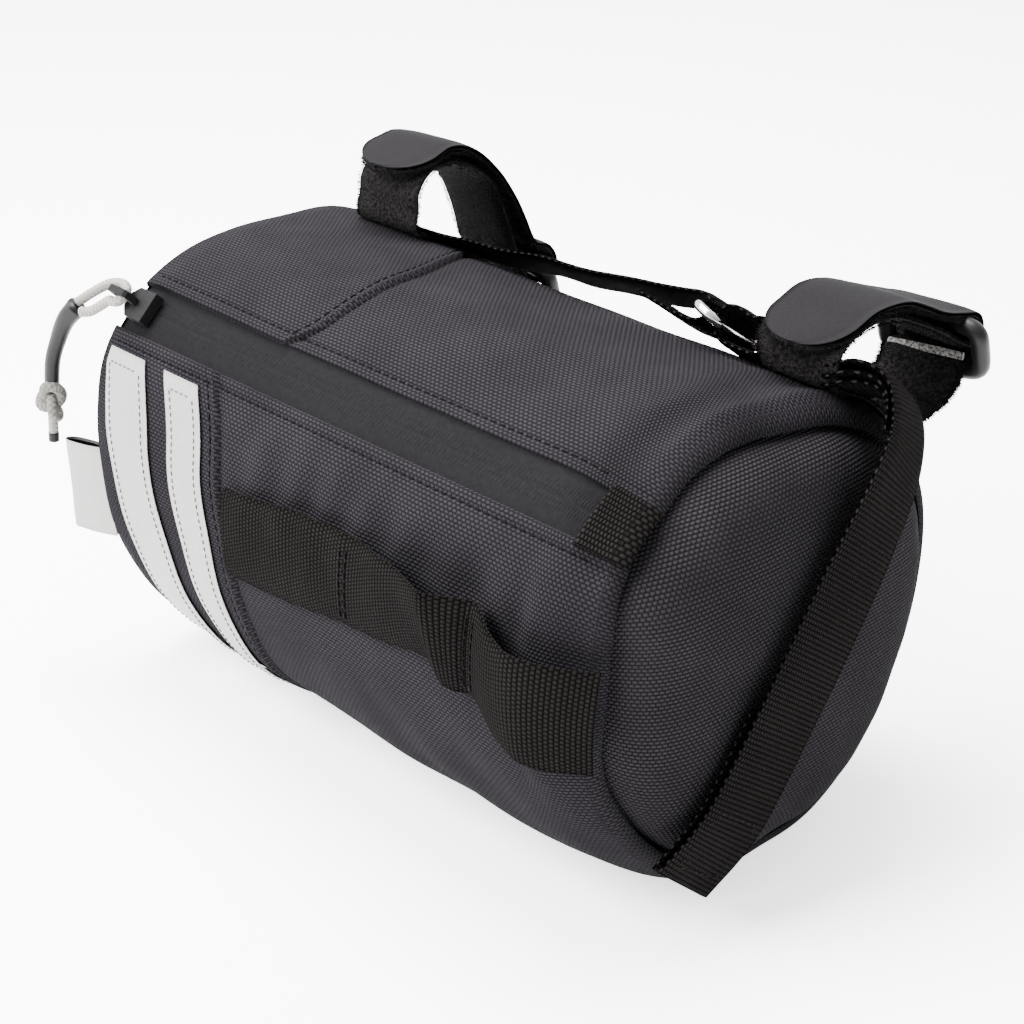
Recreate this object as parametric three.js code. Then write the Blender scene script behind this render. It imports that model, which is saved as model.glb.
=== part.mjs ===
// A round handlebar bag lying on its belly: a barrel of coated fabric with a zipper along
// its upper front, a lapped left section with two reflective stripes, looped webbing on
// the front, a webbing strap over the right end, and two straps for the bar on its upper back.
// Millimetres. X runs along the bag, -Y is its front, +Z is up, and z = 0 is what it rests on.
import * as THREE from "three";

// Driving dimensions of the barrel
const barrelRadius = 63.5;
const halfLength = 99;
const fabricWall = 1.5;
const shoulderRadius = 3;
const endBulge = 6;
const restHeight = 0.976 * barrelRadius;

// Clearances between pieces
const seamGap = 0.3;
const layGap = 0.5;
const stripeGap = 0.7;
const webbingGap = 1.1;

// Sizes of the lapped section and its stripes
const lapRise = 0.8;
const stripeThickness = 0.6;
const firstStripeWidth = 19;
const secondStripeWidth = 14.5;
const secondStripeInset = 7;
const firstStripeInset = 32;
const stripeTopAngle = 55.5;
const stripeFootAngle = 150;

// Sizes of the zipper, its end tab and its slider
const zipperMiddleAngle = 44.8;
const zipperWidth = 14;
const tapeThickness = 1.2;
const tapeDepth = 1;
const endTabLength = 17;
const endTabOverlap = 1.6;
const sliderLength = 9.5;
const sliderWidth = 9;
const sliderHeight = 3.4;
const sliderFromEnd = 9;
const bailLength = 8;
const bailHeight = 5.3;
const bailDepth = 2;
const bailWire = 1.5;

// Sizes of the webbing, the ring and the straps
const webbingThickness = 1.8;
const frontWebbingWidth = 25;
const frontWebbingAngle = 86.6;
const endStrapWidth = 25;
const endStrapRise = 3.5;
const topWebbingWidth = 20;
const ringHalfWidth = 5.4;
const ringFromStrap = 0.76 * topWebbingWidth;
const ringWire = 2.6;
const barStrapWidth = 25;
const barStrapThickness = 2;
const tabThickness = 1.8;
const leftStrapFromEnd = 33;
const rightStrapFromEnd = 21.5;
const buckleBar = 4;
const buckleWidth = barStrapWidth + 2 * buckleBar;
const buckleHeight = 0.88 * barStrapWidth;
const buckleThickness = 4;
const buckleLean = 15;

// Sizes of the label and of the cord on the slider
const labelHeight = 27;
const labelReach = 16;
const labelDroop = 3.5;
const labelStandoff = 3;
const labelThickness = 0.8;
const labelOpening = 3.4;
const labelAngle = 94.5;
const cordDiameter = 2.9;
const cordSides = 8;
const sleeveDiameter = 5;
const knotRadius = 4.8;

// The barrel's section: radius as a share of the barrel radius, by the angle from the top
// towards the front, at the left seam, at the belly and at the right seam. It has corners at
// the zipper and at the edges of the flat underside.
const sectionRows = [
  { angle: -160, left: 1.03, belly: 1.03, right: 1.03 },
  { angle: -138, left: 1.02, belly: 1.03, right: 1.03 },
  { angle: -118, left: 1.0, belly: 1.02, right: 1.01 },
  { angle: -96, left: 1.0, belly: 1.02, right: 1.02 },
  { angle: -72, left: 1.02, belly: 1.02, right: 1.045 },
  { angle: -48, left: 1.03, belly: 1.01, right: 1.025 },
  { angle: -24, left: 1.035, belly: 0.99, right: 0.98 },
  { angle: -6, left: 0.985, belly: 0.975, right: 0.955 },
  { angle: 12, left: 1.01, belly: 1.0, right: 1.0 },
  { angle: 26, left: 1.055, belly: 1.03, right: 1.03 },
  { angle: 38, left: 1.085, belly: 1.045, right: 1.03 },
  { angle: 52, left: 1.1, belly: 1.07, right: 1.045 },
  { angle: 60, left: 1.09, belly: 1.065, right: 1.07 },
  { angle: 72, left: 1.045, belly: 1.02, right: 1.02 },
  { angle: 90, left: 0.995, belly: 1.0, right: 0.985 },
  { angle: 112, left: 0.995, belly: 1.03, right: 1.0 },
  { angle: 132, left: 1.01, belly: 1.055, right: 0.995 },
  { angle: 146, left: 1.02, belly: 1.05, right: 1.0 },
  { angle: 160, left: 1.03, belly: 1.035, right: 1.026 },
  { angle: 180, left: 0.99, belly: 0.99, right: 0.99 },
];

// How much of the belly's section a place takes, by the share of the half length
const bellyRows = [
  { along: -1, belly: 0 },
  { along: -0.4, belly: 0.55 },
  { along: 0.3, belly: 1 },
  { along: 0.7, belly: 0.8 },
  { along: 1, belly: 0 },
];

// The folded edge of the lapped section: its place as a share of the half length, by angle
const lapRows = [
  { angle: 50, along: -0.52 },
  { angle: 62, along: -0.434 },
  { angle: 75, along: -0.406 },
  { angle: 112, along: -0.336 },
  { angle: 180, along: -0.336 },
  { angle: 270, along: -0.42 },
  { angle: 325, along: -0.465 },
  { angle: 346, along: -0.351 },
  { angle: 368, along: -0.292 },
  { angle: 390, along: -0.292 },
  { angle: 401, along: -0.38 },
];

// The front webbing, by share of the way from the lap to the right end: how far its lower
// and upper edges stand off the bag, how far it drops and how far its upper edge leans to
// the right, as shares of its width.
const frontWebbingRows = [
  { along: 0, foot: 0, head: 0, drop: 0, lean: 0 },
  { along: 0.16, foot: 0, head: 0.02, drop: -0.12, lean: 0 },
  { along: 0.32, foot: 0, head: 0.02, drop: -0.2, lean: 0 },
  { along: 0.4, foot: 0.02, head: 0.14, drop: -0.16, lean: 0.03 },
  { along: 0.5, foot: 0.06, head: 0.34, drop: -0.08, lean: 0.12 },
  { along: 0.565, foot: 0.08, head: 0.46, drop: -0.03, lean: 0.24 },
  { along: 0.59, foot: 0.07, head: 0.44, drop: 0, lean: 0.26 },
  { along: 0.615, foot: 0.04, head: 0.24, drop: 0, lean: 0.15 },
  { along: 0.64, foot: 0, head: 0.03, drop: 0, lean: 0 },
  { along: 0.67, foot: 0.02, head: 0.06, drop: 0.02, lean: 0 },
  { along: 0.74, foot: 0.08, head: 0.22, drop: 0.08, lean: 0 },
  { along: 0.84, foot: 0.1, head: 0.26, drop: 0.15, lean: 0 },
  { along: 0.93, foot: 0.04, head: 0.1, drop: 0.1, lean: 0 },
  { along: 1, foot: 0, head: 0, drop: 0.02, lean: 0 },
];

// The end strap from the barrel's upper back over the right end to its lower front: how far
// beyond the end seam, shares of the barrel radius from the axis, share of the rise.
const endStrapRows = [
  { beyond: -7.5, rear: 0.58, up: 0.87, rise: 0, layers: 1 },
  { beyond: -3, rear: 0.59, up: 0.89, rise: 0, layers: 1 },
  { beyond: 1.2, rear: 0.585, up: 0.875, rise: 0.15, layers: 1 },
  { beyond: 3.6, rear: 0.56, up: 0.81, rise: 0.3, layers: 1 },
  { beyond: 5.2, rear: 0.5, up: 0.71, rise: 0.5, layers: 1 },
  { beyond: 6.6, rear: 0.42, up: 0.6, rise: 0.8, layers: 1 },
  { beyond: 7.2, rear: 0.15, up: 0.23, rise: 1, layers: 1 },
  { beyond: 7.2, rear: -0.15, up: -0.18, rise: 1, layers: 1 },
  { beyond: 6.8, rear: -0.36, up: -0.465, rise: 0.9, layers: 1 },
  { beyond: 5.6, rear: -0.4, up: -0.52, rise: 1, layers: 2.1 },
  { beyond: 1.4, rear: -0.6, up: -0.74, rise: 1, layers: 2.1 },
];

// The top webbing between the bar straps. Along is the share of the way from the left strap
// to the ring, shift the way past that and lift the height over the barrel, both as shares
// of the webbing's width. The long piece folds back round one side of the ring and the
// short piece round the other.
const longWebbingRows = [
  { along: 0.02, shift: 0, lift: 0.05 },
  { along: 0.115, shift: 0, lift: 0.06 },
  { along: 0.25, shift: 0, lift: 0.1 },
  { along: 0.374, shift: 0, lift: 0.19 },
  { along: 0.499, shift: 0, lift: 0.22 },
  { along: 0.633, shift: 0, lift: 0.29 },
  { along: 0.767, shift: 0, lift: 0.355 },
  { along: 1, shift: -0.609, lift: 0.44 },
  { along: 1, shift: -0.312, lift: 0.47 },
  { along: 1, shift: -0.139, lift: 0.43 },
  { along: 1, shift: -0.089, lift: 0.29 },
  { along: 1, shift: -0.149, lift: 0.17 },
  { along: 1, shift: -0.312, lift: 0.11 },
  { along: 1, shift: -0.658, lift: 0.12 },
  { along: 1, shift: -1.252, lift: 0.225 },
];
const shortWebbingRows = [
  { shift: 0.728, lift: 0.41 },
  { shift: 0.579, lift: 0.37 },
  { shift: 0.381, lift: 0.41 },
  { shift: 0.233, lift: 0.42 },
  { shift: 0.124, lift: 0.36 },
  { shift: 0.084, lift: 0.24 },
  { shift: 0.099, lift: 0.1 },
  { shift: 0.208, lift: 0.01 },
  { shift: 0.43, lift: 0 },
  { shift: 0.728, lift: 0.02 },
];
const topWebbingAngle = -30;
const topWebbingSlope = -34;
const ringLift = 0.3;
const ringTilt = 20;

// The bar straps. Where a strap lies on the barrel a row gives the angle and the lift over
// the skin, and where it stands free how far it is behind and above its root on the skin,
// as shares of its width. Each starts on the barrel's upper back, folds up into its front
// leg and goes over the bar into the buckle. The anchor holds the buckle, and the tab is
// the free end that comes back over the top.
const leftRootAngle = -19.1;
const rightRootAngle = -25.9;
const leftStrapRows = [
  { angle: -50, lift: 0.115 },
  { angle: -38.6, lift: 0.115 },
  { angle: -28.8, lift: 0.115 },
  { angle: -19.1, lift: 0.115 },
  { rear: -0.073, up: 0.179 },
  { rear: -0.034, up: 0.382 },
  { rear: -0.01, up: 0.585 },
  { rear: 0.18, up: 0.789 },
  { rear: 0.521, up: 0.83 },
  { rear: 0.886, up: 0.655 },
  { rear: 1.164, up: 0.381 },
  { rear: 1.342, up: -0.01 },
  { rear: 1.491, up: -0.433 },
  { rear: 1.666, up: -0.837 },
  { rear: 1.857, up: -1.093 },
  { rear: 2.036, up: -1.17 },
];
const leftAnchorRows = [
  { rear: 1.781, up: -1.522 },
  { angle: -74.6, lift: 0.115 },
  { angle: -80.1, lift: 0.115 },
  { angle: -86.7, lift: 0.115 },
];
const leftTabRows = [
  { rear: 2.121, up: -1.065 },
  { rear: 2.134, up: -0.718 },
  { rear: 2.019, up: -0.53 },
  { rear: 1.818, up: -0.435 },
  { rear: 1.648, up: -0.136 },
  { rear: 1.437, up: 0.23 },
  { rear: 1.195, up: 0.586 },
  { rear: 0.864, up: 0.866 },
  { rear: 0.486, up: 1.029 },
  { rear: 0.229, up: 1.069 },
];
const leftBuckleRear = 1.984;
const leftBuckleUp = -1.066;
const rightStrapRows = [
  { angle: -50, lift: 0.095 },
  { angle: -40.7, lift: 0.095 },
  { angle: -32.2, lift: 0.095 },
  { angle: -25.9, lift: 0.097 },
  { rear: -0.018, up: 0.2 },
  { rear: -0.005, up: 0.378 },
  { rear: 0.133, up: 0.531 },
  { rear: 0.373, up: 0.613 },
  { rear: 0.652, up: 0.628 },
  { rear: 0.985, up: 0.543 },
  { rear: 1.367, up: 0.326 },
  { rear: 1.696, up: 0.149 },
  { rear: 1.974, up: -0.014 },
  { rear: 2.204, up: -0.118 },
  { rear: 2.42, up: -0.157 },
];
const rightAnchorRows = [
  { rear: 2.153, up: -0.563 },
  { rear: 2, up: -0.739 },
  { rear: 1.747, up: -0.881 },
  { rear: 1.518, up: -1.071 },
  { angle: -68.6, lift: 0.105 },
  { angle: -73.5, lift: 0.095 },
  { angle: -81.9, lift: 0.095 },
];
const rightTabRows = [
  { rear: 2.364, up: -0.023 },
  { rear: 2.348, up: 0.223 },
  { rear: 2.246, up: 0.417 },
  { rear: 2.031, up: 0.467 },
  { rear: 1.661, up: 0.497 },
  { rear: 1.371, up: 0.548 },
  { rear: 0.996, up: 0.706 },
  { rear: 0.501, up: 0.759 },
  { rear: 0.143, up: 0.736 },
];
const rightBuckleRear = 2.14;
const rightBuckleUp = -0.066;

// The cord's route by hand: through the slider's arch and back to the mouth of its sleeve,
// then the sleeve's middle line, the knot and the end of the tail.
const cordRoute = [
  [-109.4, -57.6, 109.8],
  [-105.8, -54.4, 113],
  [-102, -51.6, 115.6],
  [-98.5, -50.1, 116.4],
  [-96.8, -50.1, 116.4],
  [-95.1, -50.5, 116],
  [-94.2, -51.3, 115.2],
  [-94, -52.1, 114.4],
  [-94.2, -52.8, 113.7],
  [-95.1, -53.6, 112.9],
  [-96.8, -54.1, 112.5],
  [-98.5, -54.1, 112.4],
  [-101.5, -55.6, 110.2],
  [-104.4, -57, 108.3],
  [-107, -58.4, 107.8],
];
const sleeveRoute = [
  [-109.6, -58.6, 108.2],
  [-112.6, -60, 104.2],
  [-115.6, -61.2, 98],
  [-117.8, -62.4, 91],
  [-118.8, -63, 84.6],
];
const knotPlace = [-119, -63.4, 78.6];
const tailEnd = [-119.4, -64.2, 66.4];

// Colours of the materials
const colours = {
  fabric: 0x4b4a4e,
  endFabric: 0x454247,
  tape: 0x3c3c3f,
  webbing: 0x262423,
  stripe: 0xd8d7d5,
  pile: 0x1d1b1b,
  hook: 0x454447,
  plastic: 0x2b2b2c,
  metal: 0xc9c6c0,
  cord: 0xbdb9b2,
  label: 0xe4e2de,
};

const bag = new THREE.Group();

function add(name, geometry, colour, roughness, metalness = 0) {
  const material = new THREE.MeshStandardMaterial({ color: colour, roughness, metalness });
  const mesh = new THREE.Mesh(geometry, material);
  mesh.name = name;
  bag.add(mesh);
}

const radians = THREE.MathUtils.degToRad;

// The value of one column of a table at a place between its rows, on a smooth curve through
// them. A period closes the table on itself.
function valueAt(rows, by, column, place, period = 0) {
  const last = rows.length - 1;
  const row = (index) => {
    if (!period) return rows[Math.min(Math.max(index, 0), last)];
    const turns = Math.floor(index / rows.length);
    const source = rows[index - turns * rows.length];
    return { [by]: source[by] + turns * period, [column]: source[column] };
  };
  let at = place;
  if (period) at = rows[0][by] + ((((place - rows[0][by]) % period) + period) % period);
  let index = 0;
  while (index < (period ? last : last - 1) && row(index + 1)[by] <= at) index += 1;
  const [before, from, to, after] = [row(index - 1), row(index), row(index + 1), row(index + 2)];
  const span = to[by] - from[by];
  const share = THREE.MathUtils.clamp((at - from[by]) / span, 0, 1);
  const slope = (a, b) => (b[by] === a[by] ? 0 : ((b[column] - a[column]) / (b[by] - a[by])) * span);
  const leave = slope(before, to);
  const arrive = slope(from, after);
  const square = share * share;
  const cube = square * share;
  return (
    (2 * cube - 3 * square + 1) * from[column] +
    (cube - 2 * square + share) * leave +
    (3 * square - 2 * cube) * to[column] +
    (cube - square) * arrive
  );
}

function skinRadius(angle, x) {
  const share = THREE.MathUtils.clamp(x / halfLength, -1, 1);
  const belly = valueAt(bellyRows, "along", "belly", share);
  const seam = (column) => valueAt(sectionRows, "angle", column, angle, 360);
  const ends = ((1 - share) * seam("left") + (1 + share) * seam("right")) / 2;
  return barrelRadius * (belly * seam("belly") + (1 - belly) * ends);
}

// A point over the barrel. A station is a place along it and, on the round shoulder at its
// end, the turn in degrees. Proud is the height over the fabric's outside. The underside is
// pressed flat on what the bag rests on.
function skinPoint(station, angle, proud) {
  const turn = radians(station.turn ?? 0);
  const side = Math.sign(station.x);
  const reach = shoulderRadius + proud;
  const x = station.turn ? side * (halfLength - shoulderRadius + reach * Math.sin(turn)) : station.x;
  const drop = station.turn ? reach * Math.cos(turn) - shoulderRadius : proud;
  const radius = skinRadius(angle, x) + drop;
  const floor = Math.max(0, -proud);
  const height = restHeight + radius * Math.cos(radians(angle));
  return new THREE.Vector3(x, -radius * Math.sin(radians(angle)), Math.max(height, floor));
}

// Places along the barrel from one x to another, with a round shoulder where it reaches an end.
function stations(from, to, steps, shoulder = 3) {
  const list = [];
  const straightEnd = halfLength - shoulderRadius;
  const start = Math.max(from, -straightEnd);
  const end = Math.min(to, straightEnd);
  const turn = (k) => (90 * k) / shoulder;
  if (from < start) for (let k = shoulder; k > 0; k -= 1) list.push({ x: -halfLength, turn: turn(k) });
  for (let k = 0; k <= steps; k += 1) list.push({ x: start + ((end - start) * k) / steps });
  if (to > end) for (let k = 1; k <= shoulder; k += 1) list.push({ x: halfLength, turn: turn(k) });
  return list;
}

// A closed solid from two grids of points, the outside and the inside of one sheet, joined
// round their edges. Where the grid is a tube its last column meets its first.
function sheetSolid(outer, inner, tube = false) {
  const rows = outer.length;
  const columns = outer[0].length;
  const points = [...outer.flat(), ...inner.flat()];
  const faces = [];
  const place = (layer, row, column) => layer * rows * columns + row * columns + (column % columns);
  const quad = (a, b, c, d) => faces.push(a, b, c, a, c, d);
  const lastColumn = tube ? columns : columns - 1;
  for (let row = 0; row < rows - 1; row += 1) {
    for (let column = 0; column < lastColumn; column += 1) {
      for (const layer of [0, 1]) {
        const around = [
          place(layer, row, column),
          place(layer, row + 1, column),
          place(layer, row + 1, column + 1),
          place(layer, row, column + 1),
        ];
        quad(...(layer ? around.reverse() : around));
      }
    }
  }
  for (let column = 0; column < lastColumn; column += 1) {
    const end = rows - 1;
    quad(place(0, 0, column), place(0, 0, column + 1), place(1, 0, column + 1), place(1, 0, column));
    quad(place(0, end, column + 1), place(0, end, column), place(1, end, column), place(1, end, column + 1));
  }
  if (!tube) {
    for (let row = 0; row < rows - 1; row += 1) {
      const end = columns - 1;
      quad(place(0, row + 1, 0), place(0, row, 0), place(1, row, 0), place(1, row + 1, 0));
      quad(place(0, row, end), place(0, row + 1, end), place(1, row + 1, end), place(1, row, end));
    }
  }
  return solidFrom(points, faces);
}

// Points and faces as a geometry whose faces point out.
function solidFrom(points, faces) {
  let volume = 0;
  for (let k = 0; k < faces.length; k += 3) {
    const [a, b, c] = [points[faces[k]], points[faces[k + 1]], points[faces[k + 2]]];
    volume += a.dot(b.clone().cross(c));
  }
  const turned = volume > 0 ? faces : faces.map((_, k) => faces[k - (k % 3) + [0, 2, 1][k % 3]]);
  const geometry = new THREE.BufferGeometry().setFromPoints(points);
  geometry.setIndex(turned);
  geometry.computeVertexNormals();
  return geometry;
}

// A panel of the skin between two angles, its x range given by functions of the angle.
function skinPanel({ fromAngle, toAngle, steps, from, to, lengthSteps, top, thickness }) {
  const layer = (proud) =>
    Array.from({ length: steps + 1 }, (_, k) => {
      const angle = fromAngle + ((toAngle - fromAngle) * k) / steps;
      return stations(from(angle), to(angle), lengthSteps).map((station) => skinPoint(station, angle, proud));
    });
  return sheetSolid(layer(top), layer(top - thickness));
}

// A flat band carried along a row of places. Each place has its middle, the direction of
// its width, its width and its thickness.
function band(places) {
  const middles = places.map((place) => place.middle);
  const rim = (sign) =>
    places.map((place, k) => {
      const forward = middles[Math.min(k + 1, middles.length - 1)].clone();
      forward.sub(middles[Math.max(k - 1, 0)]).normalize();
      const across = place.across.clone().addScaledVector(forward, -place.across.dot(forward)).normalize();
      const normal = forward.cross(across).normalize();
      return [-1, 1].map((edge) =>
        place.middle
          .clone()
          .addScaledVector(across, (edge * place.width) / 2)
          .addScaledVector(normal, (sign * place.thickness) / 2)
      );
    });
  return sheetSolid(rim(1), rim(-1));
}

// Angles where the fabric's edges meet the zipper
const degreesFor = (length) => THREE.MathUtils.radToDeg(length / (barrelRadius * 1.05));
const zipperLowAngle = zipperMiddleAngle + degreesFor(zipperWidth / 2);
const zipperHighAngle = zipperMiddleAngle - degreesFor(zipperWidth / 2);
const lapAt = (angle) => halfLength * valueAt(lapRows, "angle", "along", angle);

function buildPanels() {
  const round = {
    fromAngle: zipperLowAngle,
    toAngle: zipperHighAngle + 360,
    steps: 44,
    thickness: fabricWall,
  };
  add(
    "main_panel",
    skinPanel({
      ...round,
      from: (angle) => lapAt(angle) + seamGap,
      to: () => halfLength,
      lengthSteps: 5,
      top: 0,
    }),
    colours.fabric,
    0.75
  );
  add(
    "lapped_panel",
    skinPanel({
      ...round,
      from: () => -halfLength,
      to: lapAt,
      lengthSteps: 3,
      top: lapRise,
      thickness: fabricWall + lapRise,
    }),
    colours.fabric,
    0.75
  );
}

// The end discs: a dome whose rim fits inside the shoulder of the barrel.
function buildEnds() {
  const domeRows = [
    { ring: 1, bulge: 0 },
    { ring: 0.965, bulge: 0.36 },
    { ring: 0.88, bulge: 0.64 },
    { ring: 0.7, bulge: 0.87 },
    { ring: 0.4, bulge: 0.98 },
    { ring: 0.02, bulge: 1 },
  ];
  const segments = 40;
  const dome = (side, wall) => {
    const points = [];
    const faces = [];
    for (const inside of [0, 1]) {
      for (const { ring, bulge } of domeRows.slice(0, -1)) {
        for (let k = 0; k < segments; k += 1) {
          const angle = (360 * k) / segments;
          const rim = skinRadius(angle, side * halfLength) - shoulderRadius - layGap;
          const height = Math.max(restHeight + rim * Math.cos(radians(angle)), shoulderRadius + layGap);
          points.push(
            new THREE.Vector3(
              side * (halfLength + endBulge * bulge - inside * wall),
              -rim * ring * Math.sin(radians(angle)),
              restHeight + (height - restHeight) * ring
            )
          );
        }
      }
    }
    const rings = domeRows.length - 1;
    const place = (layer, ring, k) => (layer * rings + ring) * segments + (k % segments);
    const quad = (a, b, c, d) => faces.push(a, b, c, a, c, d);
    for (let k = 0; k < segments; k += 1) {
      for (let ring = 0; ring < rings - 1; ring += 1) {
        for (const layer of [0, 1]) {
          const around = [
            place(layer, ring, k),
            place(layer, ring, k + 1),
            place(layer, ring + 1, k + 1),
            place(layer, ring + 1, k),
          ];
          quad(...(layer ? around.reverse() : around));
        }
      }
      quad(place(0, 0, k + 1), place(0, 0, k), place(1, 0, k), place(1, 0, k + 1));
    }
    for (const layer of [0, 1]) {
      const middle = points.length;
      points.push(new THREE.Vector3(side * (halfLength + endBulge - layer * wall), 0, restHeight));
      for (let k = 0; k < segments; k += 1) {
        const [a, b] = [place(layer, rings - 1, k), place(layer, rings - 1, k + 1)];
        faces.push(...(layer ? [b, a, middle] : [a, b, middle]));
      }
    }
    return solidFrom(points, faces);
  };
  add("end_panel_right", dome(1, fabricWall), colours.endFabric, 0.8);
  add("end_panel_left", dome(-1, fabricWall), colours.endFabric, 0.8);
}

function buildZipper() {
  const gap = degreesFor(seamGap);
  const tape = {
    steps: 2,
    from: () => -halfLength,
    to: () => halfLength,
    lengthSteps: 12,
    top: -tapeDepth,
    thickness: tapeThickness,
  };
  const upper = { ...tape, fromAngle: zipperHighAngle + gap, toAngle: zipperMiddleAngle - gap / 2 };
  const lower = { ...tape, fromAngle: zipperMiddleAngle + gap / 2, toAngle: zipperLowAngle - gap };
  add("zipper_tape_upper", skinPanel(upper), colours.tape, 0.5);
  add("zipper_tape_lower", skinPanel(lower), colours.tape, 0.5);
  const overlap = degreesFor(endTabOverlap);
  add(
    "zipper_end_tab",
    skinPanel({
      fromAngle: zipperHighAngle - overlap,
      toAngle: zipperLowAngle + overlap,
      steps: 3,
      from: () => halfLength - endTabLength,
      to: () => halfLength,
      lengthSteps: 3,
      top: seamGap + webbingThickness,
      thickness: webbingThickness,
    }),
    colours.webbing,
    0.9
  );
}

// The frame of the slider: its middle on the tape, and a turn that lays its top outwards.
function sliderFrame() {
  const place = -halfLength + sliderFromEnd;
  const middle = skinPoint({ x: place }, zipperMiddleAngle, seamGap - tapeDepth);
  return { middle, tilt: radians(zipperMiddleAngle) };
}

function extruded(outline, depth, frame, lift) {
  const geometry = new THREE.ExtrudeGeometry(outline, { depth, bevelEnabled: false, curveSegments: 4 });
  geometry.translate(0, 0, lift);
  geometry.rotateX(frame.tilt);
  return geometry.translate(frame.middle.x, frame.middle.y, frame.middle.z);
}

function buildSlider() {
  const frame = sliderFrame();
  const [half, side] = [sliderLength / 2, sliderWidth / 2];
  const outline = new THREE.Shape(
    [
      [-half, -0.45 * side],
      [-0.5 * half, -side],
      [half, -side],
      [half, side],
      [-0.5 * half, side],
      [-half, 0.45 * side],
    ].map(([x, y]) => new THREE.Vector2(x, y))
  );
  add("zipper_slider", extruded(outline, sliderHeight, frame, 0), colours.plastic, 0.4, 0.4);
  const [reach, top] = [bailLength / 2, bailHeight];
  const arch = new THREE.Shape(
    [
      [-reach, 0],
      [bailWire - reach, 0],
      [bailWire - reach, top - bailWire],
      [reach - bailWire, top - bailWire],
      [reach - bailWire, 0],
      [reach, 0],
      [reach, top - bailWire / 2],
      [reach - bailWire / 2, top],
      [bailWire / 2 - reach, top],
      [-reach, top - bailWire / 2],
    ].map(([x, y]) => new THREE.Vector2(x, y))
  );
  const bail = new THREE.ExtrudeGeometry(arch, { depth: bailDepth, bevelEnabled: false });
  bail.rotateX(Math.PI / 2);
  bail.translate(-0.5 * bailLength, bailDepth / 2, sliderHeight + seamGap);
  bail.rotateX(frame.tilt);
  bail.translate(frame.middle.x, frame.middle.y, frame.middle.z);
  add("slider_bail", bail, colours.plastic, 0.35, 0.6);
}

function buildStripes() {
  const stripe = (name, inset, width) =>
    add(
      name,
      skinPanel({
        fromAngle: stripeTopAngle,
        toAngle: stripeFootAngle,
        steps: 14,
        from: (angle) => Math.max(lapAt(angle) - inset - width, -halfLength + shoulderRadius),
        to: (angle) => lapAt(angle) - inset,
        lengthSteps: 2,
        top: lapRise + stripeGap + stripeThickness,
        thickness: stripeThickness,
      }),
      colours.stripe,
      0.45
    );
  stripe("reflective_stripe_outer", firstStripeInset, firstStripeWidth);
  stripe("reflective_stripe_inner", secondStripeInset, secondStripeWidth);
}

function buildFrontWebbing() {
  const halfAngle = THREE.MathUtils.radToDeg(frontWebbingWidth / 2 / barrelRadius);
  const start = lapAt(frontWebbingAngle) + 2 * seamGap + lapRise;
  const end = halfLength - seamGap;
  const steps = 40;
  const layer = (lift) =>
    Array.from({ length: steps + 1 }, (_, k) => {
      const share = k / steps;
      const x = start + (end - start) * share;
      const read = (column) => frontWebbingWidth * valueAt(frontWebbingRows, "along", column, share);
      return [0, 1, 2].map((column) => {
        const angle = frontWebbingAngle + halfAngle * (1 - column);
        const point = skinPoint({ x: Math.min(x, halfLength - shoulderRadius) }, angle, 0);
        const stand = read("foot") + ((read("head") - read("foot")) * column) / 2;
        return new THREE.Vector3(
          x + (read("lean") * column) / 2,
          point.y - webbingGap - lift - Math.max(stand, 0),
          point.z - read("drop")
        );
      });
    });
  add("front_webbing", sheetSolid(layer(webbingThickness), layer(0)), colours.webbing, 0.9);
}

function buildEndStrap() {
  const across = new THREE.Vector3(0, 0.8, -0.6);
  const acrossAtTop = new THREE.Vector3(0, 0.83, -0.557);
  const places = endStrapRows.map((row, k) => ({
    middle: new THREE.Vector3(
      halfLength + row.beyond + endStrapRise * row.rise,
      barrelRadius * row.rear,
      restHeight + barrelRadius * row.up
    ),
    across: k < 3 ? acrossAtTop : across,
    width: endStrapWidth,
    thickness: webbingThickness * row.layers,
  }));
  add("end_strap", band(places), colours.webbing, 0.9);
}

// The top webbing runs along the barrel's upper back, its width lying down the slope.
const leftStrapPlace = leftStrapFromEnd - halfLength;
const rightStrapPlace = halfLength - rightStrapFromEnd;
const leftStrapEdge = leftStrapPlace + barStrapWidth / 2;
const ringPlace = rightStrapPlace - barStrapWidth / 2 - ringFromStrap;

function topWebbingPlaces(rows) {
  const slope = radians(topWebbingSlope);
  const across = new THREE.Vector3(0, Math.cos(slope), Math.sin(slope));
  return rows.map((row) => {
    const x = THREE.MathUtils.lerp(leftStrapEdge, ringPlace, row.along ?? 1) + topWebbingWidth * row.shift;
    const proud = topWebbingWidth * row.lift + 2 * layGap + webbingThickness / 2;
    const middle = skinPoint({ x }, topWebbingAngle, proud);
    return { middle, across, width: topWebbingWidth, thickness: webbingThickness };
  });
}

function buildTopWebbing() {
  add("top_webbing_long", band(topWebbingPlaces(longWebbingRows)), colours.webbing, 0.9);
  add("top_webbing_loop", band(topWebbingPlaces(shortWebbingRows)), colours.webbing, 0.9);
}

// Where a strap leaves the skin, and its places along its path.
const strapRoot = (place, angle) => skinPoint({ x: place }, angle, 0);

function strapPlaces(rows, root, thickness) {
  const onSkin = (row) => skinPoint({ x: root.x }, row.angle, barStrapWidth * row.lift);
  const free = (row) => new THREE.Vector3(0, row.rear, row.up).multiplyScalar(barStrapWidth).add(root);
  return rows.map((row) => ({
    middle: row.rear === undefined ? onSkin(row) : free(row),
    across: new THREE.Vector3(1, 0, 0),
    width: barStrapWidth,
    thickness,
  }));
}

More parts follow.
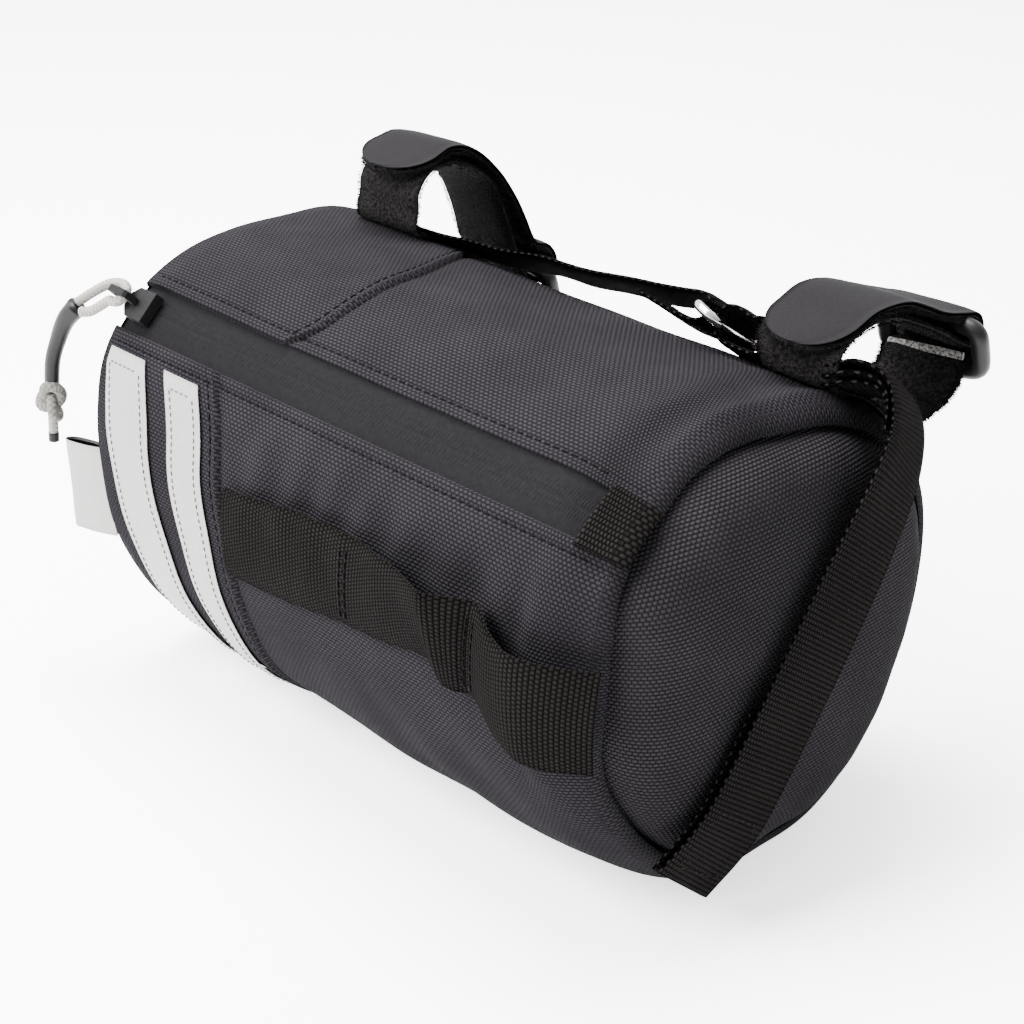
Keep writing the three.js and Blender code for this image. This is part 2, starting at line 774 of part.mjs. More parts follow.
// The free end of a strap is cut round: its last places narrow to a tip.
function roundedTip(places) {
  const last = places[places.length - 1];
  const forward = last.middle.clone().sub(places[places.length - 2].middle).normalize();
  const radius = last.width / 2;
  const steps = [30, 55, 75];
  const tip = steps.map((degrees) => ({
    ...last,
    middle: last.middle.clone().addScaledVector(forward, radius * Math.sin(radians(degrees))),
    width: last.width * Math.cos(radians(degrees)),
  }));
  return [...places, ...tip];
}

// A strap's buckle: a frame that leans in at the top. The strap goes through its window.
function buckleSolid(root, rear, up) {
  const rectangle = (shape, width, height) =>
    shape
      .moveTo(-width / 2, -height / 2)
      .lineTo(width / 2, -height / 2)
      .lineTo(width / 2, height / 2)
      .lineTo(-width / 2, height / 2)
      .closePath();
  const frame = rectangle(new THREE.Shape(), buckleWidth, buckleHeight);
  const window = [barStrapWidth + 2 * seamGap, buckleHeight - 2 * buckleBar];
  frame.holes.push(rectangle(new THREE.Path(), ...window));
  const buckle = new THREE.ExtrudeGeometry(frame, { depth: buckleThickness, bevelEnabled: false });
  buckle.translate(0, 0, -buckleThickness / 2);
  buckle.rotateX(radians(90 + buckleLean));
  return buckle.translate(root.x, root.y + barStrapWidth * rear, root.z + barStrapWidth * up);
}

function buildBarStrap(side, root, { rows, anchorRows, tabRows }, buckleRear, buckleUp) {
  const strap = strapPlaces(rows, root, barStrapThickness);
  const anchor = strapPlaces(anchorRows, root, barStrapThickness);
  const tab = roundedTip(strapPlaces(tabRows, root, tabThickness));
  add(`bar_strap_${side}`, band(strap), colours.pile, 0.95);
  add(`bar_anchor_${side}`, band(anchor), colours.pile, 0.95);
  add(`bar_tab_${side}`, band(tab), colours.hook, 0.8);
  add(`strap_buckle_${side}`, buckleSolid(root, buckleRear, buckleUp), colours.plastic, 0.4);
}

// The ring: a round wire bent to a long link that lies across the webbing.
function buildRing() {
  const slope = radians(topWebbingSlope);
  const tilt = radians(ringTilt);
  const across = new THREE.Vector3(0, Math.cos(slope), Math.sin(slope));
  const outward = new THREE.Vector3(0, -Math.sin(slope), Math.cos(slope));
  const forward = new THREE.Vector3(Math.cos(tilt), 0, 0).addScaledVector(outward, -Math.sin(tilt));
  const upright = new THREE.Vector3().crossVectors(across, forward);
  const middle = skinPoint({ x: ringPlace }, topWebbingAngle, layGap + topWebbingWidth * ringLift);
  const [steps, sides] = [24, 8];
  const halfLong = topWebbingWidth / 2 + 1.4 * ringWire;
  const points = [];
  const faces = [];
  const corner = (value) => Math.sign(value) * Math.abs(value) ** 0.7;
  for (let k = 0; k < steps; k += 1) {
    const turn = (2 * Math.PI * k) / steps;
    const [long, short] = [corner(Math.cos(turn)), corner(Math.sin(turn))];
    const centre = middle
      .clone()
      .addScaledVector(across, halfLong * long)
      .addScaledVector(forward, ringHalfWidth * short);
    const side = across.clone().multiplyScalar(Math.cos(turn)).addScaledVector(forward, Math.sin(turn));
    for (let j = 0; j < sides; j += 1) {
      const roll = (2 * Math.PI * j) / sides;
      points.push(
        centre
          .clone()
          .addScaledVector(side, (ringWire / 2) * Math.cos(roll))
          .addScaledVector(upright, (ringWire / 2) * Math.sin(roll))
      );
      const [a, b] = [k * sides + j, k * sides + ((j + 1) % sides)];
      const next = ((k + 1) % steps) * sides;
      faces.push(a, next + j, next + ((j + 1) % sides), a, next + ((j + 1) % sides), b);
    }
  }
  add("strap_ring", solidFrom(points, faces), colours.metal, 0.25, 1);
}

function buildLabel() {
  const reach = (share) => -halfLength - lapRise - labelStandoff - labelReach * share;
  const middle = skinPoint({ x: -halfLength + shoulderRadius }, labelAngle, lapRise);
  const folds = [
    { share: 0, side: -0.5 },
    { share: 0.55, side: -1 },
    { share: 0.9, side: -0.8 },
    { share: 1, side: 0 },
    { share: 0.9, side: 0.8 },
    { share: 0.55, side: 1 },
    { share: 0, side: 0.5 },
  ];
  const places = folds.map(({ share, side }) => ({
    middle: new THREE.Vector3(
      reach(share),
      middle.y + shoulderRadius + (side * labelOpening) / 2,
      middle.z - labelDroop * share
    ),
    across: new THREE.Vector3(0, 0, 1),
    width: labelHeight,
    thickness: labelThickness,
  }));
  add("side_label", band(places), colours.label, 0.7);
}

// A round solid along a smooth curve through a list of points.
function cordSolid(points, diameter, steps) {
  const curve = new THREE.CatmullRomCurve3(points.map((point) => new THREE.Vector3(...point)));
  const section = new THREE.Shape();
  for (let k = 0; k < cordSides; k += 1) {
    const turn = (2 * Math.PI * k) / cordSides;
    const [x, y] = [(diameter / 2) * Math.cos(turn), (diameter / 2) * Math.sin(turn)];
    if (k) section.lineTo(x, y);
    else section.moveTo(x, y);
  }
  return new THREE.ExtrudeGeometry(section, { steps, extrudePath: curve, bevelEnabled: false });
}

function buildCord() {
  add("pull_cord", cordSolid(cordRoute, cordDiameter, 22), colours.cord, 0.8);
  add("pull_sleeve", cordSolid(sleeveRoute, sleeveDiameter, 8), colours.plastic, 0.5);
  const knot = new THREE.SphereGeometry(knotRadius, 10, 8);
  knot.scale(1, 0.75, 1);
  knot.translate(...knotPlace);
  add("pull_knot", knot, colours.cord, 0.8);
  const tailStart = [knotPlace[0], knotPlace[1], knotPlace[2] - knotRadius - seamGap];
  add("pull_tail", cordSolid([tailStart, tailEnd], cordDiameter, 3), colours.cord, 0.8);
}

buildPanels();
buildEnds();
buildZipper();
buildSlider();
buildStripes();
buildFrontWebbing();
buildEndStrap();
buildTopWebbing();
const leftRoot = strapRoot(leftStrapPlace, leftRootAngle);
const rightRoot = strapRoot(rightStrapPlace, rightRootAngle);
const leftRows = { rows: leftStrapRows, anchorRows: leftAnchorRows, tabRows: leftTabRows };
const rightRows = { rows: rightStrapRows, anchorRows: rightAnchorRows, tabRows: rightTabRows };
buildBarStrap("left", leftRoot, leftRows, leftBuckleRear, leftBuckleUp);
buildBarStrap("right", rightRoot, rightRows, rightBuckleRear, rightBuckleUp);
buildRing();
buildLabel();
buildCord();

export default bag;
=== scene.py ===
"""Dresses the handlebar bag: cloth, webbing, straps, stitches, materials, lights and camera."""

import math

import bpy
import numpy as np
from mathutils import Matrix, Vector


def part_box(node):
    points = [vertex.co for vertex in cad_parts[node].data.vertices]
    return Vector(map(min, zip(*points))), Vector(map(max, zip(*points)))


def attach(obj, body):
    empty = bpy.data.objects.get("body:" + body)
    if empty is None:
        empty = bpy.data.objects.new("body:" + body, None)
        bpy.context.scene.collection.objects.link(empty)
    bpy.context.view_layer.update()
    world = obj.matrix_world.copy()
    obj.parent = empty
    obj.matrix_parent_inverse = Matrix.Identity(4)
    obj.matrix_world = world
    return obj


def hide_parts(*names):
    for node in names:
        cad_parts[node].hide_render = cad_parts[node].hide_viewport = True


bl_info = {
    "name": "Handlebar bag dressing",
    "version": (1, 0, 0),
    "blender": (4, 5, 0),
    "location": "View3D > Sidebar > Bag",
    "description": "Builds the cloth, straps and stage of a round handlebar bag",
    "category": "Object",
}

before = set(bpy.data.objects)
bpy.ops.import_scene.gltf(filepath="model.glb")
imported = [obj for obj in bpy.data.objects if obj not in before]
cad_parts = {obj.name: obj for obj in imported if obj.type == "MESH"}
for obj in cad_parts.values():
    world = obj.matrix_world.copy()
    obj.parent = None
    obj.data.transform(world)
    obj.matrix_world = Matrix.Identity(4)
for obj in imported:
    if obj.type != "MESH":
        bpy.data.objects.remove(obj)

MM = 0.001

# Sizes in millimetres, as in the solids

RADIUS = 63.5
HALF_LENGTH = 99.0
REST_HEIGHT = 0.976 * RADIUS
LAP_RISE = 0.8
END_ROLL = 2.4
END_TURN = 105.0
DISC_RISE = 6.4
ZIPPER_MIDDLE = 44.8
ZIPPER_WIDTH = 14.0
FRONT_ANGLE = 86.6
WEBBING = 25.0
TOP_WEBBING = 20.0
TOP_ANGLE = -30.0
TOP_SLOPE = -34.0
STRAP = 25.0
LEFT_PLACE = 33 - HALF_LENGTH
RIGHT_PLACE = HALF_LENGTH - 21.5
LEFT_ROOT_ANGLE = -19.1
RIGHT_ROOT_ANGLE = -25.9
RING_WIRE = 1.3
BUCKLE_REACH = 15.0
BUCKLE_RISE = 7.2
BUCKLE_WIRE = 2.3
LABEL_HEIGHT = 27.0
CORD_RADIUS = 1.45

# Millimetres of cloth in a degree round the barrel, whose section is a little over the radius

DEGREE = math.radians(1) * RADIUS * 1.05

# The barrel's section, in shares of the radius; an angle runs from the top towards the front

SECTION = [
    # angle, left seam, belly, right seam
    (-160, 1.03, 1.03, 1.03),
    (-138, 1.02, 1.03, 1.03),
    (-118, 1.0, 1.02, 1.01),
    (-96, 1.0, 1.02, 1.02),
    (-72, 1.02, 1.02, 1.045),
    (-48, 1.03, 1.01, 1.025),
    (-24, 1.035, 0.99, 0.98),
    (-6, 0.985, 0.975, 0.955),
    (12, 1.01, 1.0, 1.0),
    (26, 1.055, 1.03, 1.03),
    (38, 1.085, 1.045, 1.03),
    (52, 1.1, 1.07, 1.045),
    (60, 1.09, 1.065, 1.07),
    (72, 1.045, 1.02, 1.02),
    (90, 0.995, 1.0, 0.985),
    (112, 0.995, 1.03, 1.0),
    (132, 1.01, 1.055, 0.995),
    (146, 1.02, 1.05, 1.0),
    (160, 1.03, 1.035, 1.026),
    (180, 0.99, 0.99, 0.99),
]

# How much of the belly's section there is along the bag

BELLY = [
    # place as a share of the half length, share of the belly
    (-1, 0),
    (-0.4, 0.55),
    (0.3, 1),
    (0.7, 0.8),
    (1, 0),
]

# The lap's folded edge

LAP = [
    # angle, place as a share of the half length
    (50, -0.52),
    (62, -0.434),
    (75, -0.406),
    (112, -0.336),
    (180, -0.336),
    (270, -0.42),
    (325, -0.465),
    (346, -0.351),
    (368, -0.292),
    (390, -0.292),
    (401, -0.38),
]

# How the fabric rolls down to the right seam, in millimetres

ROLL = [
    # angle, where it starts, how deep it goes
    (-180, 90, 3.5),
    (-135, 88, 5.0),
    (-90, 88, 5.5),
    (-45, 90, 4.0),
    (-22, 88, 3.5),
    (0, 80, 4.5),
    (22, 70, 6.0),
    (38, 64, 6.5),
    (52, 76, 4.5),
    (62, 76, 5.5),
    (78, 74, 7.0),
    (96, 77, 6.2),
    (125, 84, 4.6),
    (150, 87, 3.8),
]

# How far the right seam is drawn in from the bag's end, in millimetres

SEAM_SHIFT = [
    # angle, shift
    (-180, 2.5),
    (-90, 2.0),
    (-48, 2.5),
    (-22, 5.5),
    (0, 8.5),
    (20, 9.5),
    (35, 9.5),
    (48, 8.0),
    (62, 5.5),
    (72, 6.5),
    (90, 7.5),
    (105, 8.0),
    (125, 4.5),
    (150, 3.0),
]

# The front webbing's two edges, in millimetres

FRONT_WEBBING = [
    # lower edge: place along the bag, stand-off and rise, then the same of the upper edge
    (-35.4, 0, 2.4, -35.4, 0, 2.4),
    (-22, 0, 3, -22, 0.3, 3.8),
    (-8, 0, 4, -8, 0.5, 6),
    (11, 0, 6.6, 12, 0.2, 7),
    (16, 0, 7.2, 17, 0.2, 7),
    (30, 0.3, 9, 30, 3, 7.6),
    (42, 0.5, 11, 43, 6.5, 8),
    (48, 1.0, 11, 48.5, 8.2, 8),
    (50.5, 2.6, 9.6, 49.5, 8.4, 7.8),
    (53, 3.4, 8, 51, 7.2, 7.5),
    (56, 2.2, 7, 56, 3.4, 7),
    (58, 0.5, 6.6, 59, 0.7, 6.6),
    (61, 0.4, 6, 62, 0.6, 6),
    (70, 3.0, 2, 69.5, 4.6, 3),
    (79, 4.0, 0.2, 78.5, 6.0, 2.2),
    (88, 2.4, -1.0, 88, 3.0, 1.6),
    (95, 0, -1.8, 95.6, 0, 1.6),
]

# The end strap's middle, and the direction of its width

END_STRAP = [
    # millimetres beyond the seam, shares of the radius behind and above, then x, y and z
    (-13, 0.59, 0.92, -0.4, 0.77, -0.5),
    (-8, 0.605, 0.945, -0.4, 0.77, -0.5),
    (-2, 0.62, 0.925, -0.34, 0.8, -0.48),
    (3.4, 0.605, 0.85, -0.22, 0.8, -0.5),
    (7.2, 0.545, 0.735, -0.18, 0.8, -0.5),
    (9.6, 0.43, 0.6, -0.1, 0.8, -0.55),
    (10.4, 0.15, 0.23, 0, 0.8, -0.6),
    (10.4, -0.15, -0.18, 0, 0.8, -0.6),
    (9.8, -0.36, -0.465, 0, 0.8, -0.6),
    (8.4, -0.46, -0.59, 0, 0.8, -0.6),
    (5, -0.6, -0.74, 0, 0.8, -0.6),
]

# The top webbing's two pieces

LONG_WEBBING = [
    # share of the way to the ring, then shift and lift as shares of the width
    (-0.06, 0, -0.03),
    (0.115, 0, 0.04),
    (0.25, 0, 0.1),
    (0.374, 0, 0.19),
    (0.499, 0, 0.22),
    (0.633, 0, 0.29),
    (0.767, 0, 0.355),
    (1, -0.609, 0.44),
    (1, -0.312, 0.47),
    (1, -0.139, 0.43),
    (1, -0.089, 0.29),
    (1, -0.149, 0.17),
    (1, -0.312, 0.11),
    (1, -0.658, 0.12),
    (1, -1.252, 0.225),
]
SHORT_WEBBING = [
    # the same columns
    (1, 0.728, 0.41),
    (1, 0.579, 0.37),
    (1, 0.381, 0.41),
    (1, 0.233, 0.42),
    (1, 0.124, 0.36),
    (1, 0.084, 0.24),
    (1, 0.099, 0.1),
    (1, 0.208, -0.02),
    (1, 0.43, -0.05),
    (1, 0.78, -0.05),
]

# The cord's route and its sleeve's, in millimetres

CORD_ROUTE = [
    # x, y, z
    (-109.4, -57.6, 109.8),
    (-105.8, -54.4, 113),
    (-102, -51.6, 115.6),
    (-98.5, -50.1, 116.4),
    (-96.8, -50.1, 116.4),
    (-95.1, -50.5, 116),
    (-94.2, -51.3, 115.2),
    (-94, -52.1, 114.4),
    (-94.2, -52.8, 113.7),
    (-95.1, -53.6, 112.9),
    (-96.8, -54.1, 112.5),
    (-98.5, -54.1, 112.4),
    (-101.5, -55.6, 110.2),
    (-104.4, -57, 108.3),
    (-107, -58.4, 107.8),
]
SLEEVE_ROUTE = [
    # x, y, z
    (-108.8, -58.2, 108.9),
    (-112.6, -60, 104.2),
    (-115.6, -61.2, 98),
    (-117.8, -62.4, 91),
    (-118.9, -63, 81.6),
]


class BagSizes(bpy.types.PropertyGroup):
    """How finely the cloth is made, its waves and its stitches."""

    around: bpy.props.IntProperty(name="Steps around", description="Steps around the barrel", default=300)
    along: bpy.props.IntProperty(name="Steps along", description="Steps along the barrel", default=130)
    ripple: bpy.props.FloatProperty(
        name="Ripple", description="Height of the soft waves in the cloth", default=0.45 * MM, unit="LENGTH"
    )
    stitch: bpy.props.FloatProperty(
        name="Stitch", description="Length of one stitch", default=2.3 * MM, unit="LENGTH"
    )


def colour_property(name, description, default):
    """A colour that a user can change, as linear red, green and blue."""
    return bpy.props.FloatVectorProperty(
        name=name, description=description, default=default, subtype="COLOR", size=3, min=0.0, max=1.0
    )


class BagColours(bpy.types.PropertyGroup):
    """The main colours, as the light parts of each weave show them; each weave darkens its gaps from them as
    painted shade.
    """

    fabric: colour_property("Fabric", "Coated fabric of the barrel", (0.0146, 0.0134, 0.0155))
    ends: colour_property("End fabric", "Coated fabric of the two ends", (0.0172, 0.0157, 0.0178))
    webbing: colour_property("Webbing", "Webbing on the front, the end and the top", (0.0086, 0.0079, 0.0077))
    tabs: colour_property("Strap backs", "Smooth backs of the bar straps' tabs", (0.0052, 0.0047, 0.0054))
    tape: colour_property("Zip tape", "The zip's coated tape", (0.0042, 0.0039, 0.0045))
    bands: colour_property("Bands", "Reflective bands on the left section", (0.205, 0.202, 0.198))
    label: colour_property("Label", "Folded label in the left seam", (0.255, 0.25, 0.243))
    cord: colour_property("Cord", "Cord loop on the slider", (0.24, 0.23, 0.21))


def stage_property(name, description, default, **kind):
    """A measure of the stage that a user can change."""
    return bpy.props.FloatProperty(name=name, description=description, default=default, **kind)


class BagStage(bpy.types.PropertyGroup):
    """The camera and the lights."""

    azimuth: stage_property("Azimuth", "Camera's turn round the bag", math.radians(46.2257), subtype="ANGLE")
    elevation: stage_property("Elevation", "Camera's rise over it", math.radians(26.4561), subtype="ANGLE")
    distance: stage_property("Distance", "From the camera to its target", 0.56904, unit="LENGTH")
    lens: stage_property("Lens", "Focal length", 74.24, unit="CAMERA")
    key: stage_property("Key light", "Power of the light over the bag", 60.0, unit="POWER")
    fill: stage_property("Fill light", "Power of the light in front of it", 90.0, unit="POWER")
    sky: stage_property("Sky", "Brightness of the surroundings", 2.6)


# Curves and surfaces


def hermite(rows, column, at, period=0.0):
    """Smooth values of a table's column: cubic pieces whose slope at a row joins its neighbours."""
    table = np.array(rows, float)
    at = np.asarray(at, float)
    if period:
        before, after = table[-2:].copy(), table[:2].copy()
        before[:, 0] -= period
        after[:, 0] += period
        first = table[0, 0]
        table = np.vstack([before, table, after])
        at = (at - first) % period + first
    x, y = table[:, 0], table[:, column]
    slope = np.empty_like(y)
    slope[1:-1] = (y[2:] - y[:-2]) / (x[2:] - x[:-2])
    slope[0], slope[-1] = (y[1] - y[0]) / (x[1] - x[0]), (y[-1] - y[-2]) / (x[-1] - x[-2])
    k = np.clip(np.searchsorted(x, at, "right") - 1, 0, len(x) - 2)
    span = x[k + 1] - x[k]
    t = np.clip((at - x[k]) / span, 0, 1)
    square, cube = t * t, t**3
    return (
        (2 * cube - 3 * square + 1) * y[k]
        + (cube - 2 * square + t) * slope[k] * span
        + (3 * square - 2 * cube) * y[k + 1]
        + (cube - square) * slope[k + 1] * span
    )


def smoothstep(low, high, value):
    """0 below low, 1 above high and a smooth rise between."""
    t = np.clip((value - low) / (high - low), 0, 1)
    return t * t * (3 - 2 * t)


def degrees_for(length):
    """The angle that a length takes round the barrel."""
    return length / DEGREE


ZIPPER_LOW = ZIPPER_MIDDLE + degrees_for(ZIPPER_WIDTH / 2)
ZIPPER_HIGH = ZIPPER_MIDDLE - degrees_for(ZIPPER_WIDTH / 2)


def lap_at(angle):
    """The x of the lap's folded edge at an angle."""
    turned = np.where(np.asarray(angle, float) < 45, np.asarray(angle, float) + 360, angle)
    return HALF_LENGTH * hermite(LAP, 1, turned)


def section_radius(x, angle):
    """The barrel's radius: the seams' and the belly's sections mixed by the place along it."""
    share = np.clip(x / HALF_LENGTH, -1, 1)
    belly = hermite(BELLY, 1, share)
    left, middle, right = (hermite(SECTION, k, angle, 360) for k in (1, 2, 3))
    ends = ((1 - share) * left + (1 + share) * right) / 2
    return RADIUS * (belly * middle + (1 - belly) * ends)


def bell(value, middle, width, power=2):
    """1 at the middle, falling to nothing on both sides."""
    return np.exp(-(((value - middle) / width) ** power))


def softness(x, angle):
    """What a filled cloth adds to the section: a roll down to the right seam, a short one at
    the left seam, a soft ridge along the seam's top and a swell on its front, puckers that
    die away from the seam, slow waves made of a few crossed sines, and short folds above
    and below the front webbing."""
    start, depth = hermite(ROLL, 1, angle, 360), hermite(ROLL, 2, angle, 360)
    right = depth * np.clip((x - start) / (HALF_LENGTH - start), 0, 1) ** 1.7
    left = 2.4 * np.clip((-x - 88) / (HALF_LENGTH - 88), 0, 1) ** 1.7
    ripple = bpy.context.scene.bag_sizes.ripple / MM
    from_end = HALF_LENGTH - np.abs(x)
    a = np.radians(angle)
    waves = (
        np.sin(3 * a + 0.045 * x + 0.6) * np.cos(0.052 * x - 1.1)
        + 0.6 * np.sin(7 * a - 0.06 * x) * np.sin(0.09 * x + 0.8)
        + 0.35 * np.sin(13 * a + 0.11 * x + 2.0)
    )
    top = np.exp(-((((angle + 180) % 360 - 182) / 30.0) ** 4))
    ridge = top * (1.3 * bell(x, 93.5, 3.4) - 1.1 * bell(x, 83, 6.5))
    swell = 1.6 * bell(angle, 78, 28.0, 4) * bell(x, 84, 9.0)
    pucker = 0.25 * np.sin(19 * a + 0.9 * np.sin(6 * a)) * np.exp(-np.abs(HALF_LENGTH - 2 - x) / 7.5)
    high = bell(angle, 68, 9.0) * smoothstep(-50, -25, x) * smoothstep(92, 70, x)
    low = bell(angle, 118, 16.0) * smoothstep(0, 40, x) * smoothstep(0, 14, from_end)
    folds = high * (0.55 * np.sin(0.42 * x + 0.1 * angle + np.sin(0.07 * x)) - 0.5 * bell(x, 52, 7.0))
    folds = folds + 0.5 * low * np.sin(0.2 * x - 0.16 * angle)
    return folds + (ripple * waves + pucker) * smoothstep(0, 6, from_end) + ridge + swell - right - left


def seam_shift(angle):
    """How far the right seam is drawn in at an angle."""
    return hermite(SEAM_SHIFT, 1, angle, 360)


def from_axis(x, radius, angle):
    """Points at a radius from the barrel's axis, at an angle from the top towards the front."""
    a = np.radians(angle)
    return np.stack(np.broadcast_arrays(x, -radius * np.sin(a), REST_HEIGHT + radius * np.cos(a)), axis=-1)


def skin(x, angle, proud=0.0, turn=0.0):
    """Points over the barrel. A turn carries the point round the roll at an end, where the
    cloth leaves the floor. Towards the right seam the cloth is drawn in along the bag by the
    seam's shift."""
    x, angle, proud, turn = np.broadcast_arrays(
        np.asarray(x, float), np.asarray(angle, float), np.asarray(proud, float), np.radians(turn)
    )
    reach = END_ROLL + proud
    rolled = (turn > 0) & (np.abs(x) >= HALF_LENGTH - END_ROLL)
    place = np.where(rolled, np.sign(x) * (HALF_LENGTH - END_ROLL + reach * np.sin(turn)), x)
    drop = np.where(rolled, reach * np.cos(turn) - END_ROLL, proud)
    radius = section_radius(place, angle) + softness(place, angle) + drop
    drawn = seam_shift(angle) * smoothstep(66, HALF_LENGTH - END_ROLL, place)
    points = from_axis(place - drawn, radius, angle)
    lowest = np.where(rolled, END_ROLL - reach * np.cos(turn), np.maximum(0.0, -proud))
    points[..., 2] = np.maximum(points[..., 2], lowest)
    return points


def skin_uv(x, angles, rolled=0.0):
    """The cloth's own places in millimetres: along the bag, with the roll added, and round it."""
    round_it = np.radians(angles)[:, None] * RADIUS
    return np.stack(np.broadcast_arrays(x + np.radians(rolled) * END_ROLL, round_it), axis=-1)


def run_along(points):
    """The length along a line up to each of its points."""
    return np.concatenate([[0], np.cumsum(np.linalg.norm(np.diff(points, axis=0), axis=1))])


def resample(points, step=0.8, extra=None):
    """Points along a smooth curve through a few, evenly spaced, with other columns carried."""
    points = np.asarray(points, float)
    chord = run_along(points)
    at = np.linspace(0, chord[-1], max(3, int(chord[-1] / step) + 1))
    table = np.column_stack([chord, points] + ([] if extra is None else [extra]))
    return np.column_stack([hermite(table, k, at) for k in range(1, table.shape[1])])


def unit(vectors):
    """Vectors of length 1."""
    return vectors / np.maximum(np.linalg.norm(vectors, axis=-1, keepdims=True), 1e-9)


def box_of(name):
    """The two corners of a solid's box, in millimetres."""
    return [np.array(corner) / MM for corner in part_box(name)]


# Meshes


def mesh_object(name, points, faces, material, uv=None, smooth=True):
    """A mesh in metres from points in millimetres, with a UV in millimetres."""
    points = np.asarray(points, float)
    mesh = bpy.data.meshes.new(name)
    mesh.from_pydata((points * MM).tolist(), [], [tuple(face) for face in faces])
    mesh.update()
    if uv is not None:
        layer = mesh.uv_layers.new(name="cloth")
        corners = np.empty(len(mesh.loops), np.int32)
        mesh.loops.foreach_get("vertex_index", corners)
        layer.data.foreach_set("uv", np.asarray(uv, np.float32)[corners].ravel())
    if smooth:
        mesh.polygons.foreach_set("use_smooth", np.ones(len(mesh.polygons), bool))
    mesh.materials.append(material)
    piece = bpy.data.objects.new(name, mesh)
    bpy.context.scene.collection.objects.link(piece)
    return piece


def dress(piece, slot, *nodes):
    """The piece rides on the one body and stands for CAD nodes. Its slot is not used."""
    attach(piece, "root")
    if nodes:
        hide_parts(*nodes)
    return piece


def grid_faces(rows, columns, start=0, wrap=False):
    """Quads over a grid of points."""
    r = np.arange(rows - 1)[:, None]
    c = np.arange(columns if wrap else columns - 1)[None, :]
    n = (c + 1) % columns
    row, below = r * columns, (r + 1) * columns
    return np.stack([row + c, below + c, below + n, row + n], axis=-1).reshape(-1, 4) + start


def outward(points, faces):
    """The faces, turned over if the volume inside them is negative."""
    points, faces = np.asarray(points), np.asarray(faces)
    a, b, c, d = (points[faces[:, k]] for k in range(4))
    volume = np.sum(a * np.cross(b, c)) + np.sum(a * np.cross(c, d))
    return faces if volume > 0 else faces[:, ::-1]


def surface(name, grid, uv, material, wrap=False, away=None):
    """One sheet of cloth seen from outside only: the grid's quads, turned away from the
    barrel's axis or to a given direction."""
    points = grid.reshape(-1, 3)
    faces = grid_faces(*grid.shape[:2], wrap=wrap)
    corners = points[faces[len(faces) // 2]]
    normal = np.cross(corners[1] - corners[0], corners[3] - corners[0])
    if away is None:
        away = corners[0] * [0, 1, 1] - [0, 0, REST_HEIGHT]
    if np.dot(normal, away) < 0:
        faces = faces[:, ::-1]
    return mesh_object(name, points, faces, material, uv.reshape(-1, 2))


def cloth(name, grid, thickness, uv, material, edge=(0.3, 0.8)):
    """A closed sheet: the middle grid moved half the thickness along its normals to each
    side, thinner at its long edges, and joined round them."""
    rows, columns = grid.shape[:2]
    along, across = np.gradient(grid, axis=0), np.gradient(grid, axis=1)
    normal = unit(np.cross(along, across))
    profile = np.ones(columns)
    profile[[0, -1]], profile[[1, -2]] = edge
    half = normal * (np.asarray(thickness) * np.ones((rows, columns)) * profile / 2)[..., None]
    points = np.concatenate([(grid + half).reshape(-1, 3), (grid - half).reshape(-1, 3)])
    size = rows * columns
    faces = [grid_faces(rows, columns), grid_faces(rows, columns, size)[:, ::-1]]
    index = np.arange(size).reshape(rows, columns)
    for line in (index[0, ::-1], index[-1], index[:, 0], index[::-1, -1]):
        faces.append(np.stack([line[:-1], line[:-1] + size, line[1:] + size, line[1:]], axis=-1)[:, ::-1])
    faces = outward(points, np.concatenate(faces))
    return mesh_object(name, points, faces, material, np.tile(uv.reshape(-1, 2), (2, 1)))


def band(middles, across, width, columns, step, tip=False):
    """A ribbon's middle surface: a smooth curve with its width square to it. A tip narrows
    its last half width to a half circle. Its lengths, offsets and normals come with it."""
    path = resample(middles, step, np.broadcast_to(np.asarray(across, float), np.shape(middles)))
    centre, side = path[:, :3], path[:, 3:]
    forward = unit(np.gradient(centre, axis=0))
    side = unit(side - np.sum(side * forward, axis=1, keepdims=True) * forward)
    length = run_along(centre)
    half = np.full(len(centre), width / 2)
    if tip:
        left = np.clip((length[-1] - length) / (width / 2), 0, 1)
        half = half * np.maximum(np.sqrt(1 - (1 - left) ** 2), 0.06)
    offset = half[:, None] * np.linspace(-1, 1, columns)
    return centre[:, None] + side[:, None] * offset[..., None], length, offset, np.cross(forward, side)


def ribbon(name, middles, across, width, thickness, material, columns=13, step=0.8, tip=False, wobble=0.0):
    """A closed band of cloth along a curve, with a slow wave along and across it."""
    grid, length, offset, normal = band(middles, across, width, columns, step, tip)
    wave = wobble * np.sin(length * 0.21)[:, None] * np.sin(np.linspace(-1, 1, columns) * 1.7 + 0.4)
    uv = np.stack([np.broadcast_to(length[:, None], offset.shape), offset + width / 2], axis=-1)
    return cloth(name, grid + normal[:, None] * wave[..., None], thickness, uv, material)


